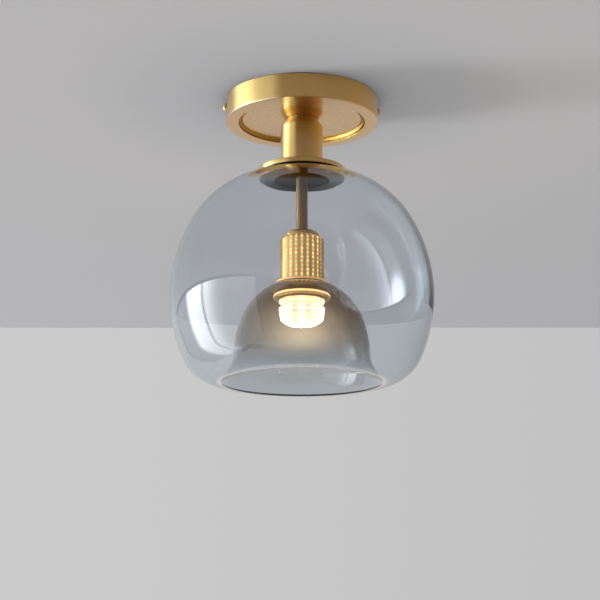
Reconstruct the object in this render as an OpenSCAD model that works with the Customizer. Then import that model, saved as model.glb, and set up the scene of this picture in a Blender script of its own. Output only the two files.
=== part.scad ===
// Flush mount ceiling light: brass canopy and stem, one-piece double-walled glass shade, LED crystal.
// The origin is the centre of the ceiling face, +Z is up, and everything hangs below it.

/* [Canopy] */
// Outer diameter of the canopy
canopy_d = 120; // [110:1:160]
// Height of the canopy's side wall
canopy_h = 19; // [17:0.5:30]
// Sheet thickness of the canopy
canopy_wall = 1.5; // [1:0.1:2]
// Diameter of the recess in the canopy's lower face
recess_d = 99.6; // [90:0.1:104]
// Depth of the recess
recess_depth = 2.6; // [2:0.1:3.5]
// Width of the small ledge in the recess wall
recess_step_w = 1.2; // [0.8:0.1:2]
// Height of the small ledge above the lower face
recess_step_h = 1; // [0.6:0.1:1.4]
// Chamfer on the canopy's outer lower edge
canopy_edge = 0.5; // [0.2:0.1:1]

/* [Side screws] */
// Diameter of the screws' thread
screw_d = 4; // [3:0.5:5]
// Diameter of the domed head
screw_head_d = 6.2; // [5.6:0.1:9]
// Height of the domed head
screw_head_h = 2.3; // [1.5:0.1:4]
// Length of the shank under the head
screw_len = 7; // [6:0.5:9]
// Distance of the screws below the ceiling
screw_drop = 7.5; // [6.5:0.5:9]

/* [Bracket] */
// Width of the steel strap
strap_w = 20; // [16:1:24]
// Thickness of the steel strap
strap_t = 1.6; // [1.2:0.1:2]
// Distance between the centres of the two ceiling slots
slot_spacing = 60; // [54:1:62]
// Width of a ceiling slot
slot_w = 4.6; // [4:0.1:5.5]
// End-to-end length of a ceiling slot
slot_len = 12; // [8:0.5:14]
// Gap between a bracket ear's corner and the canopy's inner wall
ear_gap = 0.4; // [0.3:0.1:1]
// Thread diameter of the earth screw
earth_d = 4; // [3:0.5:5]

/* [Electrics] */
// Length of the terminal block, across the strap
block_l = 17; // [14:1:20]
// Width of the terminal block
block_w = 15; // [12:1:16]
// Height of the terminal block
block_h = 10; // [8:0.5:10.5]
// Gap between the side screws' tips and the terminal block or the earth screw
tip_gap = 0.8; // [0.5:0.1:1.5]
// Pitch of the three ways in the terminal block
way_pitch = 5; // [4:0.5:5]
// Length of the driver's case
driver_l = 46; // [36:1:48]
// Width of the driver's case
driver_w = 18; // [14:1:19]
// Height of the driver's case
driver_h = 9; // [7:0.5:10]
// Distance of the driver's middle from the centre
driver_y = 29; // [27:1:30]
// Diameter of the leads
lead_d = 3; // [2:0.1:3.4]

/* [Stem] */
// Outer diameter of the rod
rod_d = 9.2; // [8:0.1:10]
// Wall of the rod
rod_wall = 1.2; // [0.8:0.1:1.6]
// Length of the rod that stands above the canopy's nut
rod_stickout = 0.8; // [0.4:0.1:1.5]
// Width across the flats of the canopy's nut
nut_af = 14; // [13:0.5:19]
// Thickness of the canopy's nut
nut_t = 4; // [3:0.5:4.5]
// Outer diameter of the lock washer
washer_d = 18; // [16:0.5:24]
// Thickness of the lock washer
washer_t = 1; // [0.5:0.1:1.5]
// Outer diameter of the barrel
barrel_d = 33.2; // [26:0.1:40]
// Length of the barrel
barrel_h = 41.2; // [30:0.1:80]
// Diameter of the barrel's top end
barrel_top_d = 25.6; // [22:0.1:32]
// Length of the barrel's tapered top
barrel_taper = 6.4; // [4:0.1:10]
// Wall of the barrel
barrel_wall = 2; // [1:0.1:3]
// Thickness of the barrel's two tapped end walls
barrel_web = 8; // [5:0.5:10]
// Radial clearance of a piece that sits on the rod
rod_fit = 0.05; // [0.02:0.01:0.1]

/* [Shade cap] */
// Diameter of the cap
cap_d = 69; // [60:0.5:80]
// Thickness of the cap
cap_t = 3.9; // [3:0.1:5]
// Rounding of the cap's rim
cap_edge = 0.6; // [0.2:0.1:1]
// Diameter of the gasket under the cap
gasket_d = 65.8; // [58:0.1:68]
// Thickness of the gasket under the cap
gasket_t = 1.2; // [0.8:0.1:2]

/* [Glass] */
// Largest diameter of the globe
globe_d = 202; // [195:1:230]
// Thickness of the glass
glass_t = 2.5; // [2:0.1:3]
// Diameter of the hole in the globe's top
globe_hole_d = 44; // [42:1:52]
// Diameter of the flat that is ground on the globe's top
globe_seat_d = 64; // [60:0.5:66]
// Radius of the globe's shoulder arc
shoulder_r = 78; // [70:1:84]
// Radius of the globe's side arc
side_r = 117; // [105:1:130]
// Turn of the side arc above the widest point, in degrees
side_up_turn = 30; // [26:1:34]
// Turn of the side arc below the widest point, in degrees
side_down_turn = 25; // [22:1:28]
// Radius of the arc that turns the globe in at the bottom
heel_r = 31.3; // [29:0.1:34]
// Radius of the fold at the mouth, at the middle of the wall
fold_r = 2.5; // [2.3:0.1:3.5]
// Turn of the fold, in degrees
fold_turn = 30; // [25:1:35]
// Radius of the bell's flared lip, at the middle of the wall
flare_r = 19.6; // [18:0.1:21]
// Radius of the bell's side arc
bell_side_r = 91; // [85:1:100]
// Turn of the bell's side arc, in degrees
bell_side_turn = 19; // [17:1:21]
// Radius of the bell's dome
dome_r = 48; // [47:0.5:50]
// Radius of the blend from the dome to the flat crown
crown_blend_r = 6; // [4:0.5:8]

/* [Lamp cup] */
// Outer diameter of the cup
cup_d = 34.2; // [33:0.1:38]
// Length of the cup below its seam
cup_h = 35.6; // [30:0.1:45]
// Wall of the cup
cup_wall = 1.2; // [0.8:0.1:1.5]
// Diameter at the seam between the cup and its top piece
seam_d = 27; // [24:0.1:30]
// Height of the sloping shoulder under the seam
cup_shoulder = 2.4; // [1.5:0.1:4]
// Height of the cup's top piece
cup_cap_h = 4.5; // [4:0.1:8]
// Corner radius of the cup's top piece
cup_cap_round = 4; // [2:0.1:4]
// Depth of the top piece's spigot inside the cup
spigot_h = 5; // [4:0.5:7]
// Thickness of the nut inside the cup
cup_nut_t = 3; // [2:0.5:4]
// Diameter of the lens's neck hole and of the LED board's seat
light_bore_d = 33.6; // [33.3:0.1:34]

/* [Shade holder] */
// Diameter of the flange above the glass
flange_d = 41; // [40:0.1:46]
// Thickness of the flange above the glass
flange_t = 1.6; // [1.2:0.1:3]
// Outer diameter of the threaded neck
neck_d = 36.6; // [36.4:0.1:37]
// Length of the threaded neck below the flange
neck_h = 13; // [12.5:0.1:15]
// Depth of the carrier's threaded spigot in the cup
carrier_spigot_h = 6; // [5:0.5:9]
// Wall of the carrier's threaded spigot
carrier_spigot_wall = 1.6; // [1.2:0.1:2]
// Thickness of the gasket between the flange and the glass
flange_gasket_t = 0.8; // [0.5:0.1:1.5]
// Thickness of the gasket between the glass and the ring
ring_gasket_t = 1.5; // [0.8:0.1:2]
// Diameter of the ring's lower flange
ring_d = 44.2; // [43:0.1:48]
// Thickness of the ring's lower flange
ring_t = 2.8; // [2:0.1:3.2]
// Diameter of the ring's upper hub
hub_d = 40.8; // [40:0.1:42]
// Height of the ring's upper hub
hub_h = 3.6; // [3:0.1:4]
// Number of grip grooves round the ring's hub
grip_count = 36; // [24:1:48]
// Radial clearance of the ring's thread
thread_fit = 0.05; // [0.02:0.01:0.1]
// Radial clearance of the glass and gaskets round the neck
neck_gap = 0.6; // [0.4:0.1:0.8]

/* [Light source] */
// Thickness of the heat sink's base
sink_base_t = 3; // [2:0.5:4]
// Height of the heat sink's finned core
sink_core_h = 19; // [12:1:20]
// Diameter of the solid middle of the heat sink's core
sink_middle_d = 12; // [10:1:16]
// Number of slots between the heat sink's fins
sink_slots = 12; // [8:1:16]
// Width of a slot between the fins
sink_slot_w = 2; // [1:0.1:2.4]
// Thickness of the LED board
board_t = 1.6; // [1:0.1:2]
// Side of one LED
led_w = 2.8; // [2:0.1:3.5]
// Height of one LED
led_h = 0.7; // [0.5:0.1:0.9]
// Radius of the circle of LEDs
led_ring_r = 11.5; // [9:0.5:12.5]
// Gap between the LEDs and the lens
led_gap = 0.6; // [0.4:0.1:0.9]

/* [Crystal lens] */
// Diameter of the lens's collar
collar_d = 35.2; // [34.8:0.1:36]
// Height of the lens's collar
collar_h = 1.5; // [1:0.1:2.5]
// Diameter of the lens at the groove below its collar
groove_d = 31.6; // [30:0.1:33]
// Height of each sloping side of that groove
groove_h = 2.4; // [1.6:0.1:3]
// Largest diameter of the lens
lens_d = 36.2; // [35:0.1:36.4]
// Diameter of the lens above its rounded lower edge
lens_low_d = 33.2; // [32:0.1:35]
// Height of the lens from the groove to its lower edge
lens_h = 13; // [10:0.1:16]
// Radius of the lens's rounded lower edge
lens_round = 2.4; // [1.5:0.1:4]
// Depth of the dish in the lens's lower face
dish_depth = 1.2; // [0.5:0.1:2]
// Number of petals round the lens
petals = 10; // [8:1:12]
// Radius of the flute between two petals
flute_r = 2.2; // [1.5:0.1:3]
// Depth of the flute between two petals
flute_depth = 1.1; // [0.6:0.1:1.4]

/* [Fits] */
// Gap between the resting shade and the fixed gaskets that it bears on
rest_gap = 0.3; // [0.2:0.05:0.4]
// Gap between the shade ring and its gasket
ring_rest_gap = 0.2; // [0.1:0.05:0.3]
// Gap round inner pieces that slip into a bore
slip = 0.3; // [0.2:0.05:0.4]

/* [Hidden] */
$fn = 96;

// Colours
BRASS = [0.73, 0.56, 0.31];
DARK_BRASS = [0.55, 0.41, 0.22];
STEEL = [0.72, 0.72, 0.74];
BLACK = [0.08, 0.08, 0.08];
SMOKE = [0.42, 0.46, 0.50, 0.45];

// Places along the strap, inwards from the side screws' tips
canopy_r = canopy_d / 2;
canopy_bore_r = canopy_r - canopy_wall;
screw_tip_x = canopy_r + slip - screw_len;
block_x = screw_tip_x - tip_gap - block_w / 2;
earth_x = screw_tip_x - tip_gap - earth_d;

// Heights of the stem, from the ceiling down
z_face = -canopy_h;
z_recess = z_face + recess_depth;
z_floor = z_recess + canopy_wall;
z_nut = z_floor + washer_t;
z_rod_top = z_nut + nut_t + rod_stickout;
z_cap = z_recess - barrel_h;
z_cap_gasket = z_cap - cap_t;
z_globe_seat = z_cap_gasket - gasket_t - rest_gap;

// The glass wall, walked along its middle from the top hole to the bell's hole.
// A step is [radius, turn, pieces]: a clockwise turn is negative, and a turn of 0 is a straight run.
function step_end(p, heading, s) =
    s[1] == 0
        ? p + s[0] * [cos(heading), sin(heading)]
        : let (side = s[1] > 0 ? 1 : -1, c = p + side * s[0] * [-sin(heading), cos(heading)])
          c + side * s[0] * [sin(heading + s[1]), -cos(heading + s[1])];
function step_stations(p, heading, s) =
    [for (i = [1:s[2]])
        let (part = i / s[2], h = heading + s[1] * part)
        [step_end(p, heading, s[1] == 0 ? [s[0] * part, 0] : [s[0], s[1] * part]), h]];
function walk(p, heading, steps, i = 0) =
    i == len(steps)
        ? []
        : concat(step_stations(p, heading, steps[i]),
                 walk(step_end(p, heading, steps[i]), heading + steps[i][1], steps, i + 1));

half_t = glass_t / 2;
globe_seat_r = globe_seat_d / 2;
neck_hole_r = neck_d / 2 + neck_gap;
shoulder_centre_r = globe_d / 2 - side_r + (side_r - shoulder_r) * cos(side_up_turn);
seat_slope = asin((globe_seat_r - shoulder_centre_r) / shoulder_r);
heel_turn = 90 - side_down_turn;
globe_steps = [
    [globe_seat_r - globe_hole_d / 2, 0, 1],
    [shoulder_r - half_t, -(90 - side_up_turn - seat_slope), 6],
    [side_r - half_t, -side_up_turn, 4],
    [side_r - half_t, -side_down_turn, 3],
    [heel_r - half_t, -heel_turn, 6],
    [fold_r, -fold_turn, 2],
    [flare_r, -(90 - fold_turn), 5],
    [bell_side_r - half_t, bell_side_turn, 3]
];
globe_start = [globe_hole_d / 2, z_globe_seat - half_t];
globe_headings = [0, -seat_slope];
seat_run = walk(globe_start, 0, [globe_steps[0]]);
wall_run = walk(seat_run[0][0], -seat_slope, [for (i = [1:len(globe_steps) - 1]) globe_steps[i]]);
bell_top = wall_run[len(wall_run) - 1][0];

// The dome closes in from the bell's side to the flat round the neck hole
crown_r = neck_hole_r + 2;
dome_centre_r = bell_top[0] - (dome_r - half_t) * cos(bell_side_turn);
crown_slope = asin((crown_r - dome_centre_r) / (dome_r - half_t - crown_blend_r + half_t));
dome_steps = [
    [dome_r - half_t, 90 - bell_side_turn - crown_slope, 6],
    [crown_blend_r - half_t, crown_slope, 2]
];
dome_run = walk(bell_top, 90 + bell_side_turn, dome_steps);
crown_end = dome_run[len(dome_run) - 1][0];
glass_run = concat([[globe_start, 0]], seat_run, wall_run, dome_run, [[[neck_hole_r, crown_end[1]], 180]]);
z_crown = crown_end[1] + half_t;
z_crown_under = crown_end[1] - half_t;
function offset_run(run, distance) = [for (s = run) s[0] + distance * [-sin(s[1]), cos(s[1])]];

// Heights of the lamp cup and of what holds the glass up
z_flange = z_crown + rest_gap + flange_gasket_t;
z_cup = z_flange + flange_t;
z_seam = z_cup + cup_h;
z_cup_top = z_seam + cup_cap_h;
z_neck_end = z_flange - neck_h;
z_ring_top = z_crown_under - ring_gasket_t - ring_rest_gap;
z_ring_flange = z_ring_top - hub_h;
cup_bore_r = cup_d / 2 - cup_wall;
light_bore_r = light_bore_d / 2;
carrier_spigot_r = cup_bore_r - 0.1;
carrier_spigot_bore_r = carrier_spigot_r - carrier_spigot_wall;
z_sink_face = z_flange - 1;
z_board = z_sink_face - sink_base_t;
z_board_face = z_board - board_t;
z_lens_top = z_board_face - led_h - led_gap;
z_rod_end = z_seam - spigot_h - cup_nut_t - 1;
rod_r = rod_d / 2;

// Routes of the two inner leads, as points chosen by hand relative to their ends.
// The first and last runs are straight, so that each end is square to the face it meets.
lead_r = lead_d / 2;
z_lead = z_floor + driver_h / 2;
z_lead_over = -strap_t - lead_r - 0.4;
z_block_lead = -strap_t - block_h / 2;
supply_route = [
    [block_x - 4, -block_l / 2, z_block_lead],
    [block_x - 4, -block_l / 2 - 2, z_block_lead],
    [block_x - 4, -block_l / 2 - 4, z_block_lead],
    [block_x - 5, -block_l / 2 - 8, z_lead],
    [block_x - 8, -driver_y + 5, z_lead],
    [block_x - 12, -driver_y + 1, z_lead],
    [driver_l / 2 + 4, -driver_y, z_lead],
    [driver_l / 2 + 2, -driver_y, z_lead],
    [driver_l / 2, -driver_y, z_lead]
];
lamp_route = [
    [-driver_l / 2, -driver_y, z_lead],
    [-driver_l / 2 - 1.5, -driver_y, z_lead],
    [-driver_l / 2 - 3, -driver_y, z_lead],
    [-driver_l / 2 - 6, -driver_y + 1, z_lead],
    [-driver_l / 2 - 8.5, -driver_y + 4, z_lead],
    [-driver_l / 2 - 9, -driver_y + 9, z_lead],
    [-28, -14, z_lead_over - 1.5],
    [-20, -8, z_lead_over],
    [-12, -3.4, z_lead_over],
    [-6, -0.8, z_lead_over - 0.2],
    [-2.4, 0, z_lead_over - 2],
    [-0.6, 0, z_rod_top - 1],
    [0, 0, z_rod_top - 8],
    [0, 0, z_rod_top - 30],
    [0, 0, z_rod_end + 20],
    [0, 0, z_rod_end - 3],
    [0, 0, z_sink_face + sink_core_h]
];

// A smooth round lead through a route's points
function spline_point(a, b, c, d, t) =
    0.5 * (2 * b + (c - a) * t + (2 * a - 5 * b + 4 * c - d) * t * t + (3 * b - a - 3 * c + d) * t * t * t);
function smooth_route(p, n) =
    let (last = len(p) - 1)
    concat([for (i = [0:last - 1], k = [0:n - 1])
               spline_point(p[max(i - 1, 0)], p[i], p[i + 1], p[min(i + 2, last)], k / n)],
           [p[last]]);
function unit(v) = v / norm(v);
function tangent(p, i) = unit(p[min(i + 1, len(p) - 1)] - p[max(i - 1, 0)]);
function across(t, before) = unit(before - (before * t) * t);
function frames(p, before, i = 0) =
    i == len(p) ? [] : let (n = across(tangent(p, i), before)) concat([n], frames(p, n, i + 1));
module lead(route, sides = 8) {
    p = smooth_route(route, 3);
    normals = frames(p, [0, 0.2, 1]);
    count = len(p);
    points = [for (i = [0:count - 1], k = [0:sides - 1])
        let (n = normals[i], b = cross(tangent(p, i), n), a = 360 * k / sides)
        p[i] + lead_r * (cos(a) * n + sin(a) * b)];
    wall_faces = [for (i = [0:count - 2], k = [0:sides - 1])
        let (m = (k + 1) % sides)
        [i * sides + k, (i + 1) * sides + k, (i + 1) * sides + m, i * sides + m]];
    triangles = [for (f = wall_faces, h = [0, 1]) h == 0 ? [f[0], f[1], f[2]] : [f[0], f[2], f[3]]];
    end_start = [for (k = [1:sides - 2]) [0, k, k + 1]];
    base = (count - 1) * sides;
    end_stop = [for (k = [1:sides - 2]) [base, base + k + 1, base + k]];
    polyhedron(points, concat(triangles, end_start, end_stop));
}

// Shared shapes
module slot(length, width, height) {
    run = (length - width) / 2;
    for (side = [-1, 1]) translate([side * run, 0, 0]) cylinder(d = width, h = height, center = true);
    cube([2 * run, width, height], center = true);
}
module along_x() {
    rotate([0, 90, 0]) children();
}
module ring_disc(outer_r, inner_r, bottom, height) {
    translate([0, 0, bottom])
        difference() {
            cylinder(r = outer_r, h = height);
            translate([0, 0, -1]) cylinder(r = inner_r, h = height + 2);
        }
}
module hex_nut(across_flats, thickness, bore_r, bottom) {
    translate([0, 0, bottom])
        difference() {
            cylinder(d = across_flats / cos(30), h = thickness, $fn = 6);
            translate([0, 0, -1]) cylinder(r = bore_r, h = thickness + 2);
        }
}

// Steel strap with two slots for the ceiling screws and two tapped ears
ear_corner_x = sqrt(pow(canopy_bore_r, 2) - pow(strap_w / 2, 2)) - ear_gap;
ear_h = screw_drop + screw_d / 2 + 2.5;
module mounting_bracket() {
    color(STEEL)
    difference() {
        union() {
            translate([-ear_corner_x, -strap_w / 2, -strap_t]) cube([2 * ear_corner_x, strap_w, strap_t]);
            for (side = [-1, 1])
                translate([side > 0 ? ear_corner_x - strap_t : -ear_corner_x, -strap_w / 2, -ear_h])
                    cube([strap_t, strap_w, ear_h]);
        }
        for (side = [-1, 1]) translate([side * slot_spacing / 2, 0, 0]) slot(slot_len, slot_w, 3 * strap_t);
        for (side = [-1, 1])
            translate([side * ear_corner_x, 0, -screw_drop])
                along_x() cylinder(r = screw_d / 2 + thread_fit, h = 4 * strap_t, center = true);
        translate([-earth_x, 0, -2 * strap_t]) cylinder(d = earth_d, h = 3 * strap_t);
    }
}

// Pan head screw under the strap, for the earth wire
module earth_screw() {
    color(BRASS)
    translate([-earth_x, 0, 0])
        difference() {
            union() {
                translate([0, 0, -strap_t]) cylinder(d = earth_d, h = strap_t);
                translate([0, 0, -strap_t - 2.4]) cylinder(d = 2 * earth_d, h = 2.4);
            }
            translate([0, 0, -strap_t - 2.4]) cube([2 * earth_d + 1, 1, 2], center = true);
        }
}

// Three-way terminal block under the strap
module terminal_block() {
    color([0.92, 0.92, 0.9])
    translate([block_x, 0, -strap_t - block_h])
        difference() {
            translate([-block_w / 2, -block_l / 2, 0]) cube([block_w, block_l, block_h]);
            for (way = [-1, 0, 1], side = [-1, 1])
                translate([side * block_w / 4, way * way_pitch, -1]) cylinder(r = 1.4, h = 4, $fn = 24);
            for (way = [-0.5, 0.5])
                translate([0, way * way_pitch, 0]) cube([block_w + 1, 0.8, 3], center = true);
        }
}

// Potted driver case on the canopy's floor
module led_driver() {
    color([0.9, 0.9, 0.88])
    translate([-driver_l / 2, -driver_y - driver_w / 2, z_floor])
        difference() {
            cube([driver_l, driver_w, driver_h]);
            for (end = [0, 1], side = [0, 1])
                translate([end * driver_l, side * driver_w, -1])
                    rotate([0, 0, 45]) cube([3, 3, 2 * driver_h + 4], center = true);
        }
}

module supply_lead() {
    color([0.85, 0.85, 0.85]) lead(supply_route);
}

module lamp_lead() {
    color([0.85, 0.85, 0.85]) lead(lamp_route);
}

// Spun brass canopy: open at the ceiling, with a stepped recess below
canopy_skin = [
    [canopy_r, 0],
    [canopy_r, z_face + canopy_edge],
    [canopy_r - canopy_edge, z_face],
    [recess_d / 2, z_face],
    [recess_d / 2, z_face + recess_step_h],
    [recess_d / 2 - recess_step_w, z_face + recess_step_h],
    [recess_d / 2 - recess_step_w - (recess_depth - recess_step_h), z_recess],
    [rod_r + rod_fit, z_recess],
    [rod_r + rod_fit, z_floor],
    [recess_d / 2 - recess_step_w - (recess_depth - recess_step_h) + canopy_wall / 2, z_floor],
    [recess_d / 2 + canopy_wall, z_face + recess_step_h + canopy_wall],
    [recess_d / 2 + canopy_wall, z_face + canopy_wall],
    [canopy_bore_r, z_face + canopy_wall],
    [canopy_bore_r, 0]
];
module canopy() {
    color(BRASS)
    difference() {
        rotate_extrude() polygon(canopy_skin);
        for (side = [-1, 1])
            translate([side * canopy_r, 0, -screw_drop])
                along_x() cylinder(r = screw_d / 2 + slip, h = 6 * canopy_wall, center = true);
    }
}

// Domed thumb screw, drawn with its head's seat at the origin and its head towards +X
head_dome_r = (pow(screw_head_d / 2, 2) + pow(screw_head_h - 0.8, 2)) / (2 * (screw_head_h - 0.8));
module side_screw() {
    color(BRASS)
    along_x() {
        translate([0, 0, -screw_len]) cylinder(d = screw_d, h = screw_len + 0.2);
        cylinder(d = screw_head_d, h = 0.8);
        intersection() {
            translate([0, 0, 0.4]) cylinder(d = screw_head_d, h = screw_head_h);
            translate([0, 0, screw_head_h - head_dome_r]) sphere(r = head_dome_r);
        }
    }
}
module canopy_screw_right() {
    translate([canopy_r + slip, 0, -screw_drop]) side_screw();
}
module canopy_screw_left() {
    mirror([1, 0, 0]) canopy_screw_right();
}

module lock_washer() {
    color(STEEL) ring_disc(washer_d / 2, rod_r + rod_fit, z_floor, washer_t);
}

module canopy_locknut() {
    color(BRASS) hex_nut(nut_af, nut_t, rod_r + rod_fit, z_nut);
}

// One tube from the canopy's nut to the lamp cup
module drop_rod() {
    color(DARK_BRASS) ring_disc(rod_r, rod_r - rod_wall, z_rod_end, z_rod_top - z_rod_end);
}

// Thick sleeve between the canopy and the cap, tapped at both ends
barrel_r = barrel_d / 2;
barrel_skin = [
    [rod_r + rod_fit, z_recess],
    [barrel_top_d / 2, z_recess],
    [barrel_r, z_recess - barrel_taper],
    [barrel_r, z_cap],
    [rod_r + rod_fit, z_cap],
    [rod_r + rod_fit, z_cap + barrel_web],
    [barrel_r - barrel_wall, z_cap + barrel_web],
    [barrel_r - barrel_wall, z_recess - barrel_web],
    [rod_r + rod_fit, z_recess - barrel_web]
];
module stem_barrel() {
    color(BRASS) rotate_extrude() polygon(barrel_skin);
}

// Corner points of a quarter round, from angle a0 to a1
function round_corner(centre, r, a0, a1, n) =
    [for (i = [0:n]) let (a = a0 + (a1 - a0) * i / n) centre + r * [cos(a), sin(a)]];

// Disc over the glass's top hole, with a rounded rim
cap_skin = concat(
    [[rod_r + rod_fit, z_cap]],
    round_corner([cap_d / 2 - cap_edge, z_cap - cap_edge], cap_edge, 90, 0, 4),
    round_corner([cap_d / 2 - cap_edge, z_cap_gasket + cap_edge], cap_edge, 0, -90, 4),
    [[rod_r + rod_fit, z_cap_gasket]]
);
module shade_cap() {
    color(BRASS) rotate_extrude() polygon(cap_skin);
}

module cap_gasket() {
    color(BLACK) ring_disc(gasket_d / 2, rod_r + rod_fit, z_cap_gasket - gasket_t, gasket_t);
}

// Rounded top piece of the cup, with a threaded spigot below the seam
seam_r = seam_d / 2;
spigot_r = seam_r - cup_wall;
cup_cap_skin = concat(
    [[rod_r + rod_fit, z_cup_top]],
    round_corner([seam_r - cup_cap_round, z_cup_top - cup_cap_round], cup_cap_round, 90, 0, 8),
    [[seam_r, z_seam], [spigot_r, z_seam], [spigot_r, z_seam - spigot_h], [rod_r + rod_fit, z_seam - spigot_h]]
);
module cup_cap() {
    color(BRASS) rotate_extrude() polygon(cup_cap_skin);
}

module cup_locknut() {
    color(BRASS) hex_nut(nut_af, cup_nut_t, rod_r + rod_fit, z_seam - spigot_h - cup_nut_t);
}

// Smooth tube with a sloping shoulder that runs in to the seam
cup_skin = [
    [spigot_r + 0.05, z_seam],
    [seam_r, z_seam],
    [cup_d / 2, z_seam - cup_shoulder],
    [cup_d / 2, z_cup],
    [cup_bore_r, z_cup],
    [cup_bore_r, z_seam - cup_shoulder - cup_wall / 2],
    [spigot_r + 0.05, z_seam - cup_wall]
];
module lamp_cup() {
    color(BRASS) rotate_extrude() polygon(cup_skin);
}

// Flange that rests on the bell's crown, with a spigot up into the cup and the threaded neck below
carrier_skin = [
    [carrier_spigot_bore_r, z_cup + carrier_spigot_h],
    [carrier_spigot_r, z_cup + carrier_spigot_h],
    [carrier_spigot_r, z_cup],
    [flange_d / 2 - 0.4, z_cup],
    [flange_d / 2, z_cup - 0.4],
    [flange_d / 2, z_flange + 0.4],
    [flange_d / 2 - 0.4, z_flange],
    [neck_d / 2, z_flange],
    [neck_d / 2, z_neck_end],
    [light_bore_r, z_neck_end],
    [light_bore_r, z_sink_face],
    [carrier_spigot_bore_r, z_sink_face]
];
module shade_carrier() {
    color(BRASS) rotate_extrude() polygon(carrier_skin);
}

// Aluminium heat sink: a base in the neck and a slotted core up inside the cup
sink_core_r = carrier_spigot_bore_r - slip;
module heat_sink() {
    color([0.8, 0.81, 0.83])
    difference() {
        union() {
            translate([0, 0, z_board]) cylinder(r = light_bore_r - 0.1, h = sink_base_t);
            translate([0, 0, z_sink_face - 0.5]) cylinder(r = sink_core_r, h = sink_core_h + 0.5);
        }
        for (i = [0:sink_slots - 1])
            rotate([0, 0, 360 * (i + 0.5) / sink_slots])
                translate([sink_middle_d / 2, -sink_slot_w / 2, z_sink_face + 2])
                    cube([sink_core_r, sink_slot_w, sink_core_h]);
    }
}

module led_board() {
    color([0.95, 0.95, 0.93])
        translate([0, 0, z_board_face]) cylinder(r = light_bore_r - 0.2, h = board_t);
}

// One LED in the middle and one behind each petal
module led_chips() {
    color([0.98, 0.85, 0.35]) {
        translate([0, 0, z_board_face - led_h / 2]) cube([2 * led_w, 2 * led_w, led_h], center = true);
        for (i = [0:petals - 1])
            rotate([0, 0, 360 * i / petals])
                translate([led_ring_r, 0, z_board_face - led_h / 2]) cube([led_w, led_w, led_h], center = true);
    }
}

// Carved lens: a spigot in the neck, a collar, a V groove and a fluted body with a dished face
z_groove = z_neck_end - collar_h;
z_lens_body = z_groove - 2 * groove_h;
z_lens_end = z_lens_body - lens_h;
lens_skin = concat(
    [[0, z_lens_top], [light_bore_r - slip, z_lens_top], [light_bore_r - slip, z_neck_end],
     [collar_d / 2, z_neck_end], [collar_d / 2, z_groove], [groove_d / 2, z_groove - groove_h],
     [lens_d / 2 - 0.5, z_lens_body], [lens_d / 2, z_lens_body - 1]],
    round_corner([lens_low_d / 2 - lens_round, z_lens_end + lens_round], lens_round, 0, -80, 6),
    [[lens_low_d / 2 - lens_round - 4, z_lens_end + dish_depth * 0.8], [0, z_lens_end + dish_depth]]
);
module crystal_lens() {
    color([1, 0.93, 0.78])
    difference() {
        rotate_extrude() polygon(lens_skin);
        for (i = [0:petals - 1])
            rotate([0, 0, 360 * (i + 0.5) / petals])
                translate([lens_d / 2 + flute_r - flute_depth, 0, z_lens_end - 1])
                    cylinder(r = flute_r, h = z_lens_body - z_lens_end + 1);
    }
}

module flange_gasket() {
    color(BLACK) ring_disc(flange_d / 2 - 0.3, neck_d / 2 + 0.1, z_flange - flange_gasket_t, flange_gasket_t);
}

// One blown piece: the globe's wall folds inwards at the mouth and rises as the bell
module glass_shade() {
    outer = offset_run(glass_run, half_t);
    inner = offset_run(glass_run, -half_t);
    last = len(inner) - 1;
    color(SMOKE)
        rotate_extrude() polygon(concat(outer, [for (i = [0:last]) inner[last - i]]));
}

module ring_gasket() {
    color([0.85, 0.85, 0.85])
        ring_disc(hub_d / 2 - 0.2, neck_hole_r, z_crown_under - ring_gasket_t, ring_gasket_t);
}

// Threaded ring that holds the glass up: a grooved hub and a wide flange below it
ring_bore_r = neck_d / 2 + thread_fit;
ring_edge = 0.5;
ring_skin = [
    [ring_bore_r, z_ring_top],
    [hub_d / 2, z_ring_top],
    [hub_d / 2, z_ring_flange],
    [ring_d / 2 - ring_edge, z_ring_flange],
    [ring_d / 2, z_ring_flange - ring_edge],
    [ring_d / 2, z_ring_flange - ring_t + ring_edge],
    [ring_d / 2 - ring_edge, z_ring_flange - ring_t],
    [ring_bore_r, z_ring_flange - ring_t]
];
module shade_ring() {
    color(BRASS)
    difference() {
        rotate_extrude() polygon(ring_skin);
        for (i = [0:grip_count - 1])
            rotate([0, 0, 360 * i / grip_count])
                translate([hub_d / 2 + 0.3, 0, z_ring_flange + 0.4]) cylinder(r = 0.8, h = hub_h, $fn = 16);
    }
}

mounting_bracket();
earth_screw();
terminal_block();
led_driver();
supply_lead();
lamp_lead();
canopy();
canopy_screw_left();
canopy_screw_right();
canopy_locknut();
lock_washer();
drop_rod();
stem_barrel();
shade_cap();
cap_gasket();
cup_cap();
cup_locknut();
lamp_cup();
shade_carrier();
heat_sink();
led_board();
led_chips();
crystal_lens();
flange_gasket();
glass_shade();
ring_gasket();
shade_ring();
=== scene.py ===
# %% [markdown]
# # A flush mount ceiling light
# A round brass canopy hangs on the ceiling. A short stem carries a smoke grey blown globe, whose
# lower edge folds inwards and rises as a bell, and inside the bell sits a small lit crystal.
# The CAD model is loaded first. It fixes where everything is: the ceiling is z = 0, +Z is up, and
# the photograph was taken from the -Y side. Each visible piece is then built over its CAD node.

# %% Load the frame
import math

import bmesh
import bpy
from mathutils import Matrix, Vector


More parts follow.
